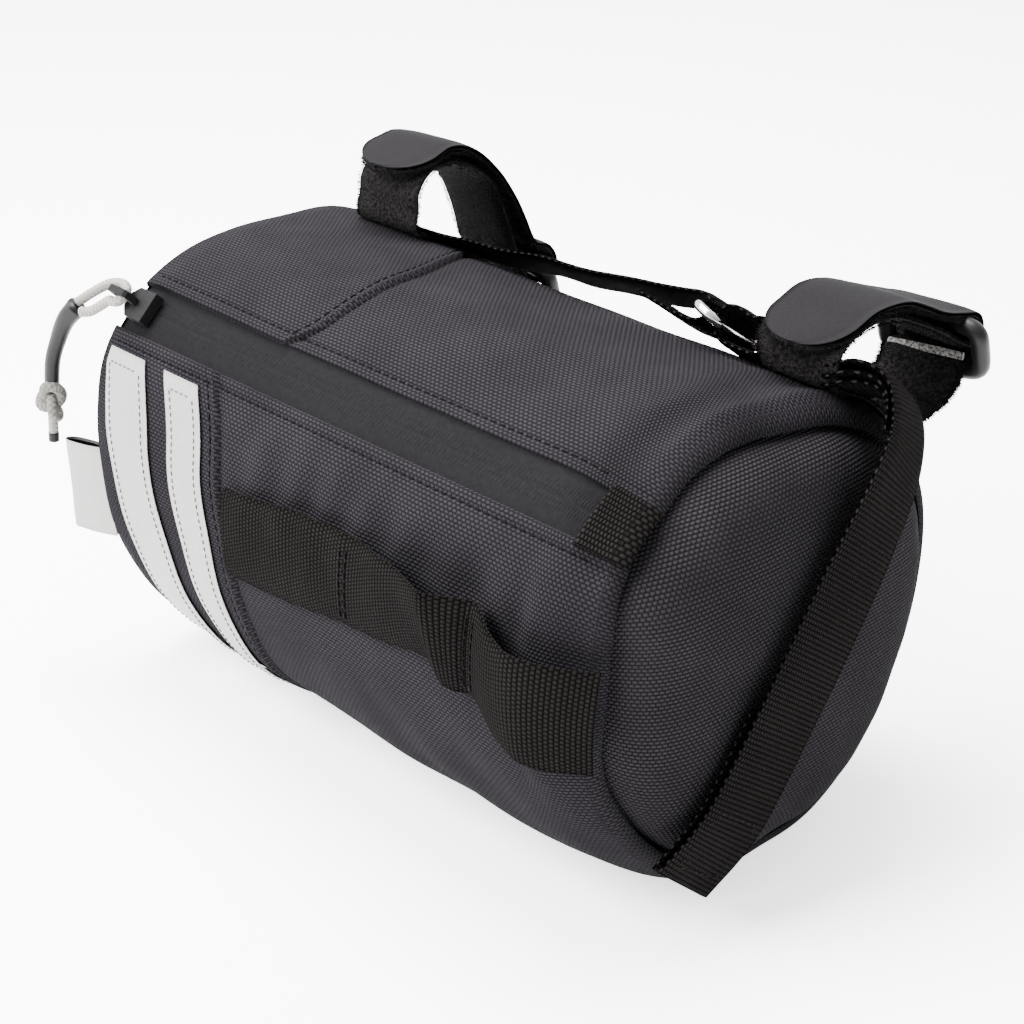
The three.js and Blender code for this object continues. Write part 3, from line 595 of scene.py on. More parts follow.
def tube(name, path, radius, material, sides=10, closed=False, flat=1.0, step=0.6):
    """A round solid along a curve: a ring of points at each place. On an open curve the rings
    turn as little as they can from one to the next, with a face over each end. On a closed
    one they keep to the curve's plane."""
    centre = np.asarray(path, float) if closed else resample(path, step)
    count = len(centre)
    radius = np.atleast_1d(radius)
    radius = np.interp(np.linspace(0, 1, count), np.linspace(0, 1, len(radius)), radius)
    if closed:
        forward = unit(np.roll(centre, -1, axis=0) - np.roll(centre, 1, axis=0))
        spokes = centre[[0, count // 4]] - centre.mean(axis=0)
        normals = unit(np.cross(forward, unit(np.cross(spokes[0], spokes[1]))))
    else:
        forward = unit(np.gradient(centre, axis=0))
        normals = [unit(np.cross(forward[0], [0.3, 0.2, 0.9]))]
        for ahead in forward[1:]:
            normals.append(unit(normals[-1] - np.dot(normals[-1], ahead) * ahead))
        normals = np.array(normals)
    sideways = np.cross(forward, normals)
    turn = np.linspace(0, 2 * np.pi, sides, endpoint=False)
    ring = normals[:, None] * np.cos(turn)[:, None] + flat * sideways[:, None] * np.sin(turn)[:, None]
    points = (centre[:, None] + ring * radius[:, None, None]).reshape(-1, 3)
    uv = np.stack([np.repeat(run_along(centre), sides), np.tile(turn / (2 * np.pi), count)], axis=-1)
    index = np.arange(count * sides).reshape(count, sides)
    if closed:
        after, beside = np.roll(index, -1, axis=0), np.roll(index, -1, axis=1)
        quads = np.stack([index, after, np.roll(after, -1, axis=1), beside], axis=-1).reshape(-1, 4)
        return mesh_object(name, points, outward(points, quads), material, uv)
    quads = grid_faces(count, sides, wrap=True)
    faces = outward(points, quads)
    first, last = index[0].tolist(), index[-1].tolist()
    caps = [first, last[::-1]] if np.array_equal(faces, quads) else [first[::-1], last]
    return mesh_object(name, points, [*faces.tolist(), *caps], material, uv)


def oblong(middle, across, long, upright, short, power, count):
    """A closed line like a rounded oblong: the powers of a cosine and a sine, their signs kept."""
    turn = np.linspace(0, 2 * np.pi, count, endpoint=False)
    first, second = (np.sign(wave) * np.abs(wave) ** power for wave in (np.cos(turn), np.sin(turn)))
    return middle + np.outer(first * long, across) + np.outer(second * short, upright)


def dashes(name, lines, material, length=2.3, gap=1.0, radius=0.24, sides=6):
    """Stitches: short threads along lines on the cloth, their ends sunk into it. A line has
    points and normals; each thread has four rings."""
    starts, ends, ups = [], [], []
    for points, normals in lines:
        reach = run_along(points)

        def at(where, table):
            return np.stack([np.interp(where, reach, table[:, k]) for k in range(3)], axis=-1)

        places = np.arange(0.4, reach[-1] - length, length + gap)
        starts.append(at(places, points))
        ends.append(at(places + length, points))
        ups.append(unit(at(places + length / 2, normals)))
    start, end, up = np.concatenate(starts), np.concatenate(ends), np.concatenate(ups)
    side = np.cross(unit(end - start), up)
    turn = np.linspace(0, 2 * np.pi, sides, endpoint=False)
    circle = np.cos(turn)[:, None] * side[:, None] + np.sin(turn)[:, None] * up[:, None]
    rings = []
    for share, lift, size in ((0, -0.22, 0.7), (0.22, 0.1, 1), (0.78, 0.1, 1), (1, -0.22, 0.7)):
        centre = start + (end - start) * share + up * lift
        rings.append(centre[:, None] + circle * radius * size)
    points = np.stack(rings, axis=1)
    index = np.arange(len(start) * 4 * sides).reshape(len(start), 4, sides)
    beside = np.roll(index, -1, axis=2)
    faces = np.stack([index[:, :-1], beside[:, :-1], beside[:, 1:], index[:, 1:]], axis=-1).reshape(-1, 4)
    caps = np.concatenate([index[:, 0, ::-1], index[:, -1]])
    return mesh_object(name, points.reshape(-1, 3), [*faces.tolist(), *caps.tolist()], material)


def fibres(name, roots, normals, material, length, width=0.3, seed=1):
    """Loose fibres: a thin upright triangle at each root, leaning at random from the normal."""
    random = np.random.default_rng(seed)
    normals = unit(normals + random.normal(0, 0.55, normals.shape))
    side = unit(np.cross(normals, random.normal(0, 1, normals.shape)))
    reach = (length * random.uniform(0.4, 1.3, len(roots)))[:, None]
    points = np.stack([roots - side * width / 2, roots + side * width / 2, roots + normals * reach], axis=1)
    faces = np.arange(3 * len(roots)).reshape(-1, 3)
    return mesh_object(name, points.reshape(-1, 3), faces, material, smooth=False)


def sheet_fibres(name, grid, material, count, length, upper=0.5, edges=0.4, seed=1):
    """Fibres scattered over a grid of points: a share of them on its upper side and the rest
    under it, and a share of all along its long edges, which lean out and are longer."""
    random = np.random.default_rng(seed)
    rows, columns = grid.shape[:2]
    normal = unit(np.cross(np.gradient(grid, axis=0), np.gradient(grid, axis=1)))
    across = unit(np.gradient(grid, axis=1))
    r = random.uniform(0, rows - 1.001, count)
    c = random.uniform(0, columns - 1.001, count)
    rim = random.uniform(0, 1, count) < edges
    far = random.uniform(0, 1, count) < 0.5
    c = np.where(rim, np.where(far, columns - 1.001, 0), c)
    i, j = r.astype(int), c.astype(int)
    u, v = (r - i)[:, None], (c - j)[:, None]

    def mix(table):
        near = table[i, j] * (1 - u) + table[i + 1, j] * u
        beside = table[i, j + 1] * (1 - u) + table[i + 1, j + 1] * u
        return near * (1 - v) + beside * v

    up = mix(normal) * np.where(random.uniform(0, 1, count) < upper, 1.0, -1.0)[:, None]
    out = mix(across) * np.where(far, 1.0, -1.0)[:, None]
    direction = np.where(rim[:, None], out + 0.5 * up, up)
    roots = mix(grid) + np.where(rim[:, None], 0.5, 0.85) * up
    return fibres(name, roots, direction, material, length * np.where(rim, 1.3, 1.0), seed=seed)


# Materials


def node(tree, kind, inputs=None, **settings):
    """A shader node with its settings, and each input linked or set."""
    made = tree.nodes.new(f"ShaderNode{kind}")
    for name, value in settings.items():
        setattr(made, name, value)
    for name, value in (inputs or {}).items():
        if isinstance(value, bpy.types.NodeSocket):
            tree.links.new(value, made.inputs[name])
        else:
            made.inputs[name].default_value = value
    return made


def shade(colour, share):
    """A colour made darker or lighter by a share."""
    return tuple(share * part for part in colour)


def sum_of(tree, operation, a, b=None):
    """The output of one math node."""
    inputs = {0: a} if b is None else {0: a, 1: b}
    return node(tree, "Math", inputs, operation=operation).outputs[0]


def new_material(name, values):
    """A material with values set on its principled shader, and its tree and shader."""
    material = bpy.data.materials.new(name)
    material.use_nodes = True
    shader = material.node_tree.nodes["Principled BSDF"]
    for key, value in values.items():
        shader.inputs[key].default_value = value
    return material, material.node_tree, shader


def blend(tree, share, dark, light):
    """The output of a mix between two colours."""
    inputs = {"Factor": share, "A": (*dark, 1), "B": (*light, 1)}
    return node(tree, "Mix", inputs, data_type="RGBA").outputs["Result"]


def spread(tree, value, low, high, first=0.0, last=1.0):
    """The output of a range: from low and high to first and last."""
    inputs = {"Value": value, "From Min": low, "From Max": high, "To Min": first, "To Max": last}
    return node(tree, "MapRange", inputs).outputs[0]


def plain(
    name, colour, roughness, metallic=0.0, bump=0.0, scale=900.0, depth=0.0003, mottle=0.15, specular=0.5
):
    """A smooth material with a grain from noise in its colour and its height."""
    values = {"Roughness": roughness, "Metallic": metallic, "Specular IOR Level": specular}
    material, tree, shader = new_material(name, values)
    place = node(tree, "TexCoord").outputs["Object"]
    grain = node(tree, "TexNoise", {"Vector": place, "Scale": scale, "Detail": 3.0}).outputs["Fac"]
    dark, light = (shade(colour, share) for share in (1 - mottle, 1 + mottle))
    tree.links.new(blend(tree, spread(tree, grain, 0.35, 0.65), dark, light), shader.inputs["Base Color"])
    if bump:
        height = node(tree, "Bump", {"Height": grain, "Strength": bump, "Distance": depth})
        tree.links.new(height.outputs[0], shader.inputs["Normal"])
    return material


def wave(tree, value, turn):
    """The output of a sine whose argument is a value times a turn."""
    return sum_of(tree, "SINE", sum_of(tree, "MULTIPLY", value, turn))


def woven(
    name, dark, light, pitch, kind="basket", roughness=0.7, bump=0.6, depth=0.0002, mottle=0.12, specular=0.35
):
    """Cloth from its UV in millimetres. A basket is the product of two sines, so threads rise
    in turn. A rib is a row of cords across the cloth, each cut into knuckles that are half a
    knuckle off from the next row's, and a brick is the same with its rows along the cloth. A
    twill is a row of slanted lines. The colour goes from the dark one in the low gaps to the
    light one on the raised threads: the darker gaps are painted shade."""
    values = {"Roughness": roughness, "Specular IOR Level": specular}
    material, tree, shader = new_material(name, values)
    uv = node(tree, "UVMap", uv_map="cloth").outputs["UV"]
    parts = node(tree, "SeparateXYZ", {0: uv})
    u = sum_of(tree, "DIVIDE", parts.outputs[0], pitch[0])
    v = sum_of(tree, "DIVIDE", parts.outputs[1], pitch[1])
    if kind == "brick":
        u, v = v, u
    if kind == "basket":
        crossed = sum_of(tree, "MULTIPLY", wave(tree, u, 2 * math.pi), wave(tree, v, 2 * math.pi))
        height = sum_of(tree, "ADD", sum_of(tree, "MULTIPLY", crossed, 0.5), 0.5)
    elif kind in ("rib", "brick"):
        cord = sum_of(tree, "ABSOLUTE", wave(tree, u, math.pi))
        row = sum_of(tree, "ADD", v, sum_of(tree, "MULTIPLY", sum_of(tree, "FLOOR", u), 0.5))
        knuckle = sum_of(tree, "ABSOLUTE", wave(tree, row, math.pi))
        cord, knuckle = sum_of(tree, "POWER", cord, 0.6), sum_of(tree, "POWER", knuckle, 0.5)
        height = sum_of(tree, "MULTIPLY", cord, knuckle)
    else:
        height = sum_of(tree, "ABSOLUTE", wave(tree, sum_of(tree, "ADD", u, v), math.pi))
    place = node(tree, "TexCoord").outputs["Object"]
    spots = node(tree, "TexNoise", {"Vector": place, "Scale": 60.0, "Detail": 4.0}).outputs["Fac"]
    cloud = spread(tree, spots, 0.3, 0.7, 1 - mottle, 1 + mottle)
    inputs = {0: blend(tree, height, dark, light), "Scale": cloud}
    colour = node(tree, "VectorMath", inputs, operation="SCALE")
    tree.links.new(colour.outputs[0], shader.inputs["Base Color"])
    relief = node(tree, "Bump", {"Height": height, "Strength": bump, "Distance": depth})
    tree.links.new(relief.outputs[0], shader.inputs["Normal"])
    return material


MATERIALS = {}


def make_materials(colours):
    """Every material of the bag and its stage."""
    fabric, ends, webbing = tuple(colours.fabric), tuple(colours.ends), tuple(colours.webbing)
    label, cord = tuple(colours.label), tuple(colours.cord)
    coated = dict(kind="brick", roughness=0.75, specular=0.004)
    braid = shade(cord, 0.54)
    # The darker colour of each weave, a share of its light one, is painted shade in the gaps between threads.
    MATERIALS.update(
        coated_fabric=woven(
            "coated fabric", shade(fabric, 0.17), fabric, (1.55, 0.95), bump=0.9, depth=0.0004, **coated
        ),
        end_fabric=woven(
            "end fabric", shade(ends, 0.22), ends, (1.4, 1.05), bump=1.0, depth=0.0005, **coated
        ),
        webbing=woven(
            "webbing", shade(webbing, 0.05), webbing, (1.25, 1.05), kind="rib", bump=1.0, depth=0.0005,
            roughness=0.9, specular=0.003
        ),
        hook_tape=plain("tab backing", tuple(colours.tabs), 0.85, bump=0.6, scale=1600.0, specular=0.05),
        loop_pile=plain(
            "loop pile", (0.0048, 0.0044, 0.0043), 0.95, bump=1.0, scale=1100.0, depth=0.0009, mottle=0.8,
            specular=0.05
        ),
        pile_fibre=plain("pile fibre", (0.0036, 0.0033, 0.0033), 0.9, specular=0.05),
        reflective_tape=plain(
            "reflective tape", tuple(colours.bands), 0.5, bump=0.2, mottle=0.05, specular=0.2
        ),
        zipper_tape=plain("zipper tape", tuple(colours.tape), 0.85, bump=0.3, specular=0.03),
        buckle_plastic=plain(
            "buckle plastic", (0.0035, 0.0034, 0.0036), 0.42, bump=0.1, scale=500.0, specular=0.14
        ),
        ring_metal=plain("ring metal", (0.5, 0.49, 0.475), 0.15, metallic=1.0, mottle=0.02),
        slider_metal=plain("slider metal", (0.0065, 0.0063, 0.0066), 0.55, metallic=0.1, specular=0.05),
        label_satin=woven(
            "label satin", shade(label, 0.57), label, (0.9, 0.9), kind="twill", bump=0.4, roughness=0.6,
            mottle=0.04, specular=0.15
        ),
        cord=woven("braided cord", braid, cord, (1.3, 0.25), bump=0.7, mottle=0.05, specular=0.15),
        knotted_cord=woven(
            "knotted cord", shade(cord, 0.25), braid, (1.3, 0.25), bump=0.8, roughness=0.75, mottle=0.1,
            specular=0.12
        ),
        sleeve_plastic=plain("sleeve", (0.0062, 0.0061, 0.0065), 0.4, specular=0.12),
        thread=plain("thread", (0.0012, 0.0011, 0.0012), 0.7, specular=0.04),
        light_thread=plain("light thread", (0.045, 0.045, 0.045), 0.6, specular=0.1),
        white_hooks=plain(
            "white hooks", (0.12, 0.117, 0.112), 0.8, bump=1.0, scale=1500.0, depth=0.0008, mottle=0.9
        ),
        tail_tip=plain("tail tip", (0.007, 0.007, 0.007), 0.5, specular=0.1),
        floor=plain("floor", (0.93, 0.93, 0.93), 0.9, mottle=0.0),
    )
    glow = MATERIALS["floor"].node_tree.nodes["Principled BSDF"].inputs
    glow["Emission Color"].default_value = (1, 1, 1, 1)
    glow["Emission Strength"].default_value = 1.7


# The barrel


def end_turns(last=END_TURN, steps=8):
    """The turns round the roll at an end, in degrees."""
    return np.linspace(last / steps, last, steps)


def panel_grid(angles, start, end, steps, proud, rolls, last=END_TURN):
    """A grid over the barrel from one x to another at each angle, with the roll added at the
    end that rolls names by its sign. It gives each point's x, turn and height over the skin."""
    x = start[:, None] + (end - start)[:, None] * np.linspace(0, 1, steps)
    turn = np.zeros_like(x)
    lift = np.broadcast_to(proud[:, None], x.shape)
    extra = end_turns(last)
    edge = np.full((len(angles), len(extra)), rolls * HALF_LENGTH)
    turns = np.broadcast_to(extra, edge.shape)
    lifts = lift[:, :1] * (1 - extra / last)
    if rolls > 0:
        return np.hstack([x, edge]), np.hstack([turn, turns]), np.hstack([lift, lifts])
    return np.hstack([edge, x]), np.hstack([turns[:, ::-1], turn]), np.hstack([lifts, lift])


def edge_profile(angles, low, high):
    """How proud the cloth is near the zipper: a folded edge that stands up and turns under."""
    near = np.minimum(angles - low, high - angles) * DEGREE
    lip = 0.4 * bell(near, 1.4, 1.3)
    groove = -0.3 * bell(near, 3.6, 0.5)
    under = -1.5 * np.clip(1 - near / 0.7, 0, 1) ** 2
    return lip + groove + under


def fine_angles(low, high, steps):
    """Angles between two edges, closer together near them."""
    inner = np.linspace(low + 6, high - 6, steps)
    return np.concatenate([np.linspace(low, low + 6, 22)[:-1], inner, np.linspace(high - 6, high, 22)[1:]])


def build_barrel(sizes):
    """The skin: a tube from the zipper's lower edge round the underside to its upper edge,
    its left section lapped over the main one with a folded edge."""
    fabric = MATERIALS["coated_fabric"]
    angles = fine_angles(ZIPPER_LOW, ZIPPER_HIGH + 360, sizes.around)
    rim = edge_profile(angles, ZIPPER_LOW, ZIPPER_HIGH + 360)
    lap = lap_at(angles)
    straight = np.full_like(lap, HALF_LENGTH - END_ROLL)
    x, turn, lift = panel_grid(angles, lap - 4, straight, sizes.along, rim, 1)
    crease = 0.6 * bell(x, lap[:, None], 1.6)
    grid = skin(x, angles[:, None], lift - crease, turn)
    dress(surface("barrel_cloth", grid, skin_uv(x, angles, turn), fabric), "coated_fabric", "main_panel")

    x, turn, lift = panel_grid(angles, -straight, lap, sizes.along // 2, rim, -1)
    inset = lap[:, None] - x
    fold = 0.3 * bell(inset, 1.4, 1.2) - 0.35 * bell(inset, 3.4, 0.5)
    under = -(LAP_RISE + 0.9) * np.clip(1 - inset / 0.8, 0, 1) ** 2
    grid = skin(x, angles[:, None], lift + LAP_RISE + fold + under, turn)
    dress(surface("lapped_cloth", grid, skin_uv(x, angles, -turn), fabric), "coated_fabric", "lapped_panel")


# A disc's profile from inside the barrel's roll, in millimetres

DISC = [
    # inset from the roll's edge, rise over the seam
    (-2.6, -2.6),
    (0.6, -2.2),
    (1.7, -0.6),
    (3.0, 1.4),
    (5.5, 3.3),
    (10, 4.8),
    (20, 5.8),
    (40, 6.3),
]


def build_ends(steps=300):
    """The discs: rings that rise steeply from the seam and swell out to a flat middle. The
    right one is drawn in at its rim by the seam's shift. Their weave stays upright."""
    inset, height = resample(DISC, 1.0).T[:, :, None]
    angle = np.linspace(0, 360, steps, endpoint=False)
    a = np.radians(angle)
    turn = math.radians(END_TURN)
    roll = END_ROLL * (1 - math.cos(turn))
    pucker = 0.14 * np.sin(17 * a + 1 + 0.6 * np.sin(5 * a)) * bell(inset, 4, 4)
    for side, name in ((1, "right"), (-1, "left")):
        seam = side * (HALF_LENGTH - END_ROLL * (1 - math.sin(turn)))
        end = np.full(steps, side * HALF_LENGTH)
        rim = section_radius(end, angle) + softness(end, angle) - roll + (LAP_RISE if side < 0 else 0)
        low = np.maximum(REST_HEIGHT + rim * np.cos(a), roll)
        share = (rim - inset) / rim
        drawn = seam_shift(angle) * (side > 0) * np.exp(-np.maximum(inset, 0) / 9.0)
        x = seam + side * (height + pucker) - drawn
        grid = np.stack([x, -rim * share * np.sin(a), REST_HEIGHT + (low - REST_HEIGHT) * share], axis=-1)
        centre = np.array([seam + side * DISC_RISE, 0, REST_HEIGHT])
        grid = np.concatenate([grid, [centre * 0.999 + grid[-1] * 0.001]])
        run = np.linalg.norm(np.diff(grid[::-1], axis=0, prepend=grid[-1:]), axis=2).cumsum(axis=0)[::-1]
        uv = np.stack([-run * np.sin(a), run * np.cos(a)], axis=-1)
        piece = surface(f"end_cloth_{name}", grid, uv, MATERIALS["end_fabric"], wrap=True, away=(side, 0, 0))
        dress(piece, "end_fabric", f"end_panel_{name}")


def build_zipper():
    """The zip's tapes: a sunk strip with a thin middle line between two rows of fine coil, and
    the webbing tab over its right end."""
    angles = np.linspace(ZIPPER_HIGH - 0.6, ZIPPER_LOW + 0.6, 49)
    x = np.linspace(-HALF_LENGTH + 1, HALF_LENGTH - 3, 1100)
    off = ((angles - ZIPPER_MIDDLE) * DEGREE)[:, None]
    coil = sum(
        0.085 * bell(off, row, 0.45) * (1 + np.sin(x * 2 * np.pi / 1.3 + row))
        for row in (-2.6, -1.2, 1.2, 2.6)
    )
    grid = skin(x, angles[:, None], -1.0 + coil - 0.16 * bell(off, 0, 0.25))
    uv = np.stack(np.broadcast_arrays(x, off), axis=-1)
    piece = surface("zipper_cloth", grid, uv, MATERIALS["zipper_tape"])
    dress(piece, "zipper_tape", "zipper_tape_upper", "zipper_tape_lower")

    reach = degrees_for(1.6)
    angles = np.linspace(ZIPPER_HIGH - reach, ZIPPER_LOW + reach, 40)
    end = np.full_like(angles, HALF_LENGTH)
    x, turn, _ = panel_grid(angles, end - 13, end - END_ROLL, 34, 0 * angles, 1, last=70)
    proud = 1.2 - 1.1 * np.clip(1 - (x - x[:, :1]) / 1.2, 0, 1) ** 2
    uv = skin_uv(x, angles, turn)[..., ::-1]
    tab = cloth("zipper_end_cloth", skin(x, angles[:, None], proud, turn), 1.4, uv, MATERIALS["webbing"])
    dress(tab, "webbing", "zipper_end_tab")


def build_stripes(top=55.5, foot=150, seam=2.4):
    """The reflective bands: thin sheets beside the lap, their edges following its curve, with
    light stitches a seam's width inside their edges."""
    angles = np.linspace(top, foot, 90)
    lap = lap_at(angles)
    proud = LAP_RISE + 1.05
    threads = []
    for name, inset, width in (("outer", 30, 19), ("inner", 7, 14.5)):
        right = lap - inset
        left = np.maximum(right - width, -HALF_LENGTH + 5.5)
        x = left[:, None] + (right - left)[:, None] * np.linspace(0, 1, 20)
        grid = skin(x, angles[:, None], LAP_RISE + 0.75)
        tape = MATERIALS["reflective_tape"]
        sheet = cloth(f"reflective_band_{name}", grid, 0.5, skin_uv(x, angles), tape)
        dress(sheet, "reflective_tape", f"reflective_stripe_{name}")
        short = np.linspace(left[3] + seam, right[3] - seam, 12)
        threads.append(on_skin(left[3:] + seam, angles[3:], proud))
        threads.append(on_skin(right[3:] - seam, angles[3:], proud))
        threads.append(on_skin(short, np.full(12, angles[3]), proud))
    stitches = dashes("band_stitches", threads, MATERIALS["light_thread"], length=1.5, gap=0.5, radius=0.16)
    dress(stitches, "reflective_tape")


def on_skin(x, angle, proud):
    """A line on the barrel and its normals, from x and angle."""
    points = skin(x, angle, proud)
    raised = skin(x, angle, np.asarray(proud) + 1.0)
    return points, unit(raised - points)


def front_grid(rows, columns, stand=1.9):
    """The front webbing's middle: straight lines from its lower edge to its upper one, each
    edge a smooth curve through its table, over the skin."""
    at = np.arange(len(FRONT_WEBBING), dtype=float)
    table = np.column_stack([at, FRONT_WEBBING])
    place = np.linspace(0, at[-1], rows)
    half = math.degrees(WEBBING / 2 / RADIUS)
    edges = []
    for first, angle in ((1, FRONT_ANGLE + half), (4, FRONT_ANGLE - half)):
        x, off, rise = (hermite(table, first + k, place) for k in range(3))
        edge = skin(x, np.full(rows, angle), 0)
        edges.append(np.stack([x, edge[:, 1] - stand - np.maximum(off, 0), edge[:, 2] + rise], axis=-1))
    level = np.linspace(0, 1, columns)[None, :, None]
    belly = 1.0 * np.sin(np.pi * level)
    return edges[0][:, None] * (1 - level) + edges[1][:, None] * level - belly * [0, 1, 0]


def build_front_webbing(rows=320, columns=15):
    """The looped webbing on the front, with the rows of stitches that tack it down at places
    counted in rows of its table."""
    grid = front_grid(rows, columns)
    length = run_along(grid[:, columns // 2])
    uv = np.stack(np.broadcast_arrays(length[:, None], np.linspace(0, WEBBING, columns)), axis=-1)
    dress(cloth("front_webbing_cloth", grid, 1.6, uv, MATERIALS["webbing"]), "webbing", "front_webbing")
    threads = []
    for tack in (3.2, 3.8, 11.1, 11.9):
        line = grid[int(tack / (len(FRONT_WEBBING) - 1) * (rows - 1)), 1:-1]
        threads.append((line + [0, -0.95, 0], np.tile([[0, -1.0, 0]], (len(line), 1))))
    dress(dashes("front_tacks", threads, MATERIALS["thread"], radius=0.3, gap=0.5), "webbing")


def build_end_strap():
    """The strap over the right end: webbing from under the bar strap to the lower front, two
    layers under its start, and its last part doubled and tacked with a crossed box."""
    rows = np.array(END_STRAP)
    middles = rows[:, :3] * [1, RADIUS, RADIUS] + [HALF_LENGTH, 0, REST_HEIGHT]
    across = rows[:, 3:]
    webbing = MATERIALS["webbing"]
    dress(ribbon("end_strap_cloth", middles, across, WEBBING, 1.7, webbing), "webbing", "end_strap")
    under = middles[-4:] - [2.0, 0, 0]
    dress(ribbon("end_strap_under", under, across[-4:], WEBBING, 1.7, webbing), "webbing")
    shares = np.array([[1.0], [1.0], [0.75], [0.35], [0]])
    for name, low in (("inner", 2.4), ("lower", 4.8)):
        layer = middles[:5] - shares * [0, 1.1, low] - (1 - shares) * [1.9, 0, 0]
        dress(ribbon(f"end_strap_{name}", layer, across[:5], WEBBING, 1.9, webbing), "webbing")
    path = resample(middles[-3:])
    side = rows[-1, 3:]
    ahead = unit(path[-1] - path[0])
    up = unit(np.cross(ahead, side))
    up = up if up[0] > 0 else -up
    box = [(-9, 3), (9, 3), (9, 19), (-9, 19), (-9, 3), (9, 19), (9, 3), (-9, 19)]
    spots = [path[0] + side * w + ahead * s + 1.05 * up for w, s in box]
    threads = [(np.linspace(a, b, 8), np.tile(up, (8, 1))) for a, b in zip(spots, spots[1:])]
    dress(dashes("end_strap_tack", threads, MATERIALS["thread"], radius=0.28, gap=0.6), "webbing")


def top_places(rows):
    """Middles of the top webbing, in millimetres."""
    left = LEFT_PLACE + STRAP / 2
    ring = RIGHT_PLACE - STRAP / 2 - 0.76 * TOP_WEBBING
    share, shift, lift = np.array(rows).T
    x = left + (ring - left) * share + TOP_WEBBING * shift
    return from_axis(x, section_radius(x, TOP_ANGLE) + TOP_WEBBING * lift + 1.9, TOP_ANGLE)


def build_top_webbing():
    """The webbing along the upper back and the short loop, both folded round the ring, which
    is a rounded oblong that leans forward."""
    slope, tilt = math.radians(TOP_SLOPE), math.radians(20)
    across = np.array([0, math.cos(slope), math.sin(slope)])
    for name, rows in (("long", LONG_WEBBING), ("loop", SHORT_WEBBING)):
        piece = ribbon(
            f"top_cloth_{name}", top_places(rows), across, TOP_WEBBING, 1.7, MATERIALS["webbing"], wobble=0.25
        )
        dress(piece, "webbing", f"top_webbing_{name}")
    middle = sum(box_of("strap_ring")) / 2
    forward = np.array([math.cos(tilt), math.sin(tilt) * math.sin(slope), -math.sin(tilt) * math.cos(slope)])
    path = oblong(middle, across, TOP_WEBBING / 2 + 3.64, forward, 5.4, 0.7, 96)
    ring = tube("ring", path, RING_WIRE, MATERIALS["ring_metal"], sides=16, closed=True)
    dress(ring, "ring_metal", "strap_ring")


# The bar straps' middles. A row that lies on the skin has an angle and a lift over it. A free
# row has None and its places rear and up from the strap's root. All are in strap widths

LEFT_STRAP = [
    (-50, 0.07),
    (-38.6, 0.07),
    (-28.8, 0.07),
    (-19.1, 0.075),
    (None, -0.073, 0.179),
    (None, -0.034, 0.382),
    (None, -0.01, 0.585),
    (None, 0.18, 0.789),
    (None, 0.521, 0.83),
    (None, 0.886, 0.655),
    (None, 1.164, 0.381),
    (None, 1.342, -0.01),
    (None, 1.491, -0.433),
    (None, 1.666, -0.837),
    (None, 1.857, -1.093),
    (None, 2.036, -1.17),
]
LEFT_ANCHOR = [(None, 1.781, -1.522), (-74.6, 0.115), (-80.1, 0.115), (-86.7, 0.115)]
LEFT_TAB = [
    (None, 2.121, -1.065),
    (None, 2.134, -0.718),
    (None, 2.019, -0.53),
    (None, 1.818, -0.435),
    (None, 1.648, -0.136),
    (None, 1.437, 0.23),
    (None, 1.195, 0.586),
    (None, 0.864, 0.866),
    (None, 0.5, 0.985),
    (None, 0.225, 0.93),
]
RIGHT_STRAP = [
    (-50, 0.035),
    (-40.7, 0.035),
    (-32.2, 0.035),
    (-25.9, 0.04),
    (None, -0.018, 0.2),
    (None, -0.005, 0.378),
    (None, 0.133, 0.49),
    (None, 0.373, 0.565),
    (None, 0.652, 0.575),
    (None, 0.985, 0.5),
    (None, 1.367, 0.326),
    (None, 1.696, 0.149),
    (None, 1.974, -0.014),
    (None, 2.204, -0.118),
    (None, 2.42, -0.157),
]
RIGHT_ANCHOR = [
    (None, 2.24, -0.36),
    (None, 2.17, -0.27),
    (None, 2.07, -0.35),
    (None, 2.02, -0.48),
    (None, 1.88, -0.6),
    (None, 1.6, -0.68),
    (None, 1.28, -0.72),
    (None, 1.02, -0.74),
    (-54, 0.05),
    (-49, -0.03),
]
RIGHT_TAB = [
    (None, 2.364, -0.08),
    (None, 2.355, 0.08),
    (None, 2.27, 0.19),
    (None, 2.05, 0.26),
    (None, 1.7, 0.37),
    (None, 1.37, 0.51),
    (None, 1.0, 0.65),
    (None, 0.56, 0.69),
    (None, 0.22, 0.595),
]

# The buckles' middles from the straps' roots, in millimetres

LEFT_BUCKLE = (0, 1.984 * STRAP, -1.066 * STRAP)
RIGHT_BUCKLE = (1.5, 2.14 * STRAP, -0.066 * STRAP - 1.4)


def build_label():
    """The folded label in the left seam: light satin outside, painted shade inside as a near-black sheet,
    open at the top.
    """
    low, high = box_of("side_label")
    reach = high[0] - low[0]
    middle = (low[1] + high[1]) / 2
    foot = low[2] + LABEL_HEIGHT / 2
    fold = [(0, 0.5), (0.3, 0.9), (0.6, 1), (0.9, 0.75)]
    folds = [(share, -side) for share, side in fold] + [(1, 0)] + fold[::-1]
    for name, inset, height, satin_and_painted_shade in (
        ("label_cloth", 0, LABEL_HEIGHT, "label_satin"),
        # painted shade inside the fold: a near-black sheet in the thread material, just inside the satin
        ("label_fold_shade", 0.6, LABEL_HEIGHT - 1.1, "thread"),
    ):
        path = [
            (high[0] + 3.6 - (reach - inset) * share, middle + (1.9 - inset) * side, foot + 3.4 * (1 - share))
            for share, side in folds
        ]
        piece = ribbon(name, path, (-0.03, 0, 1), height, 0.45, MATERIALS[satin_and_painted_shade], step=0.5)
        dress(piece, "label_satin", *(["side_label"] if inset == 0 else []))


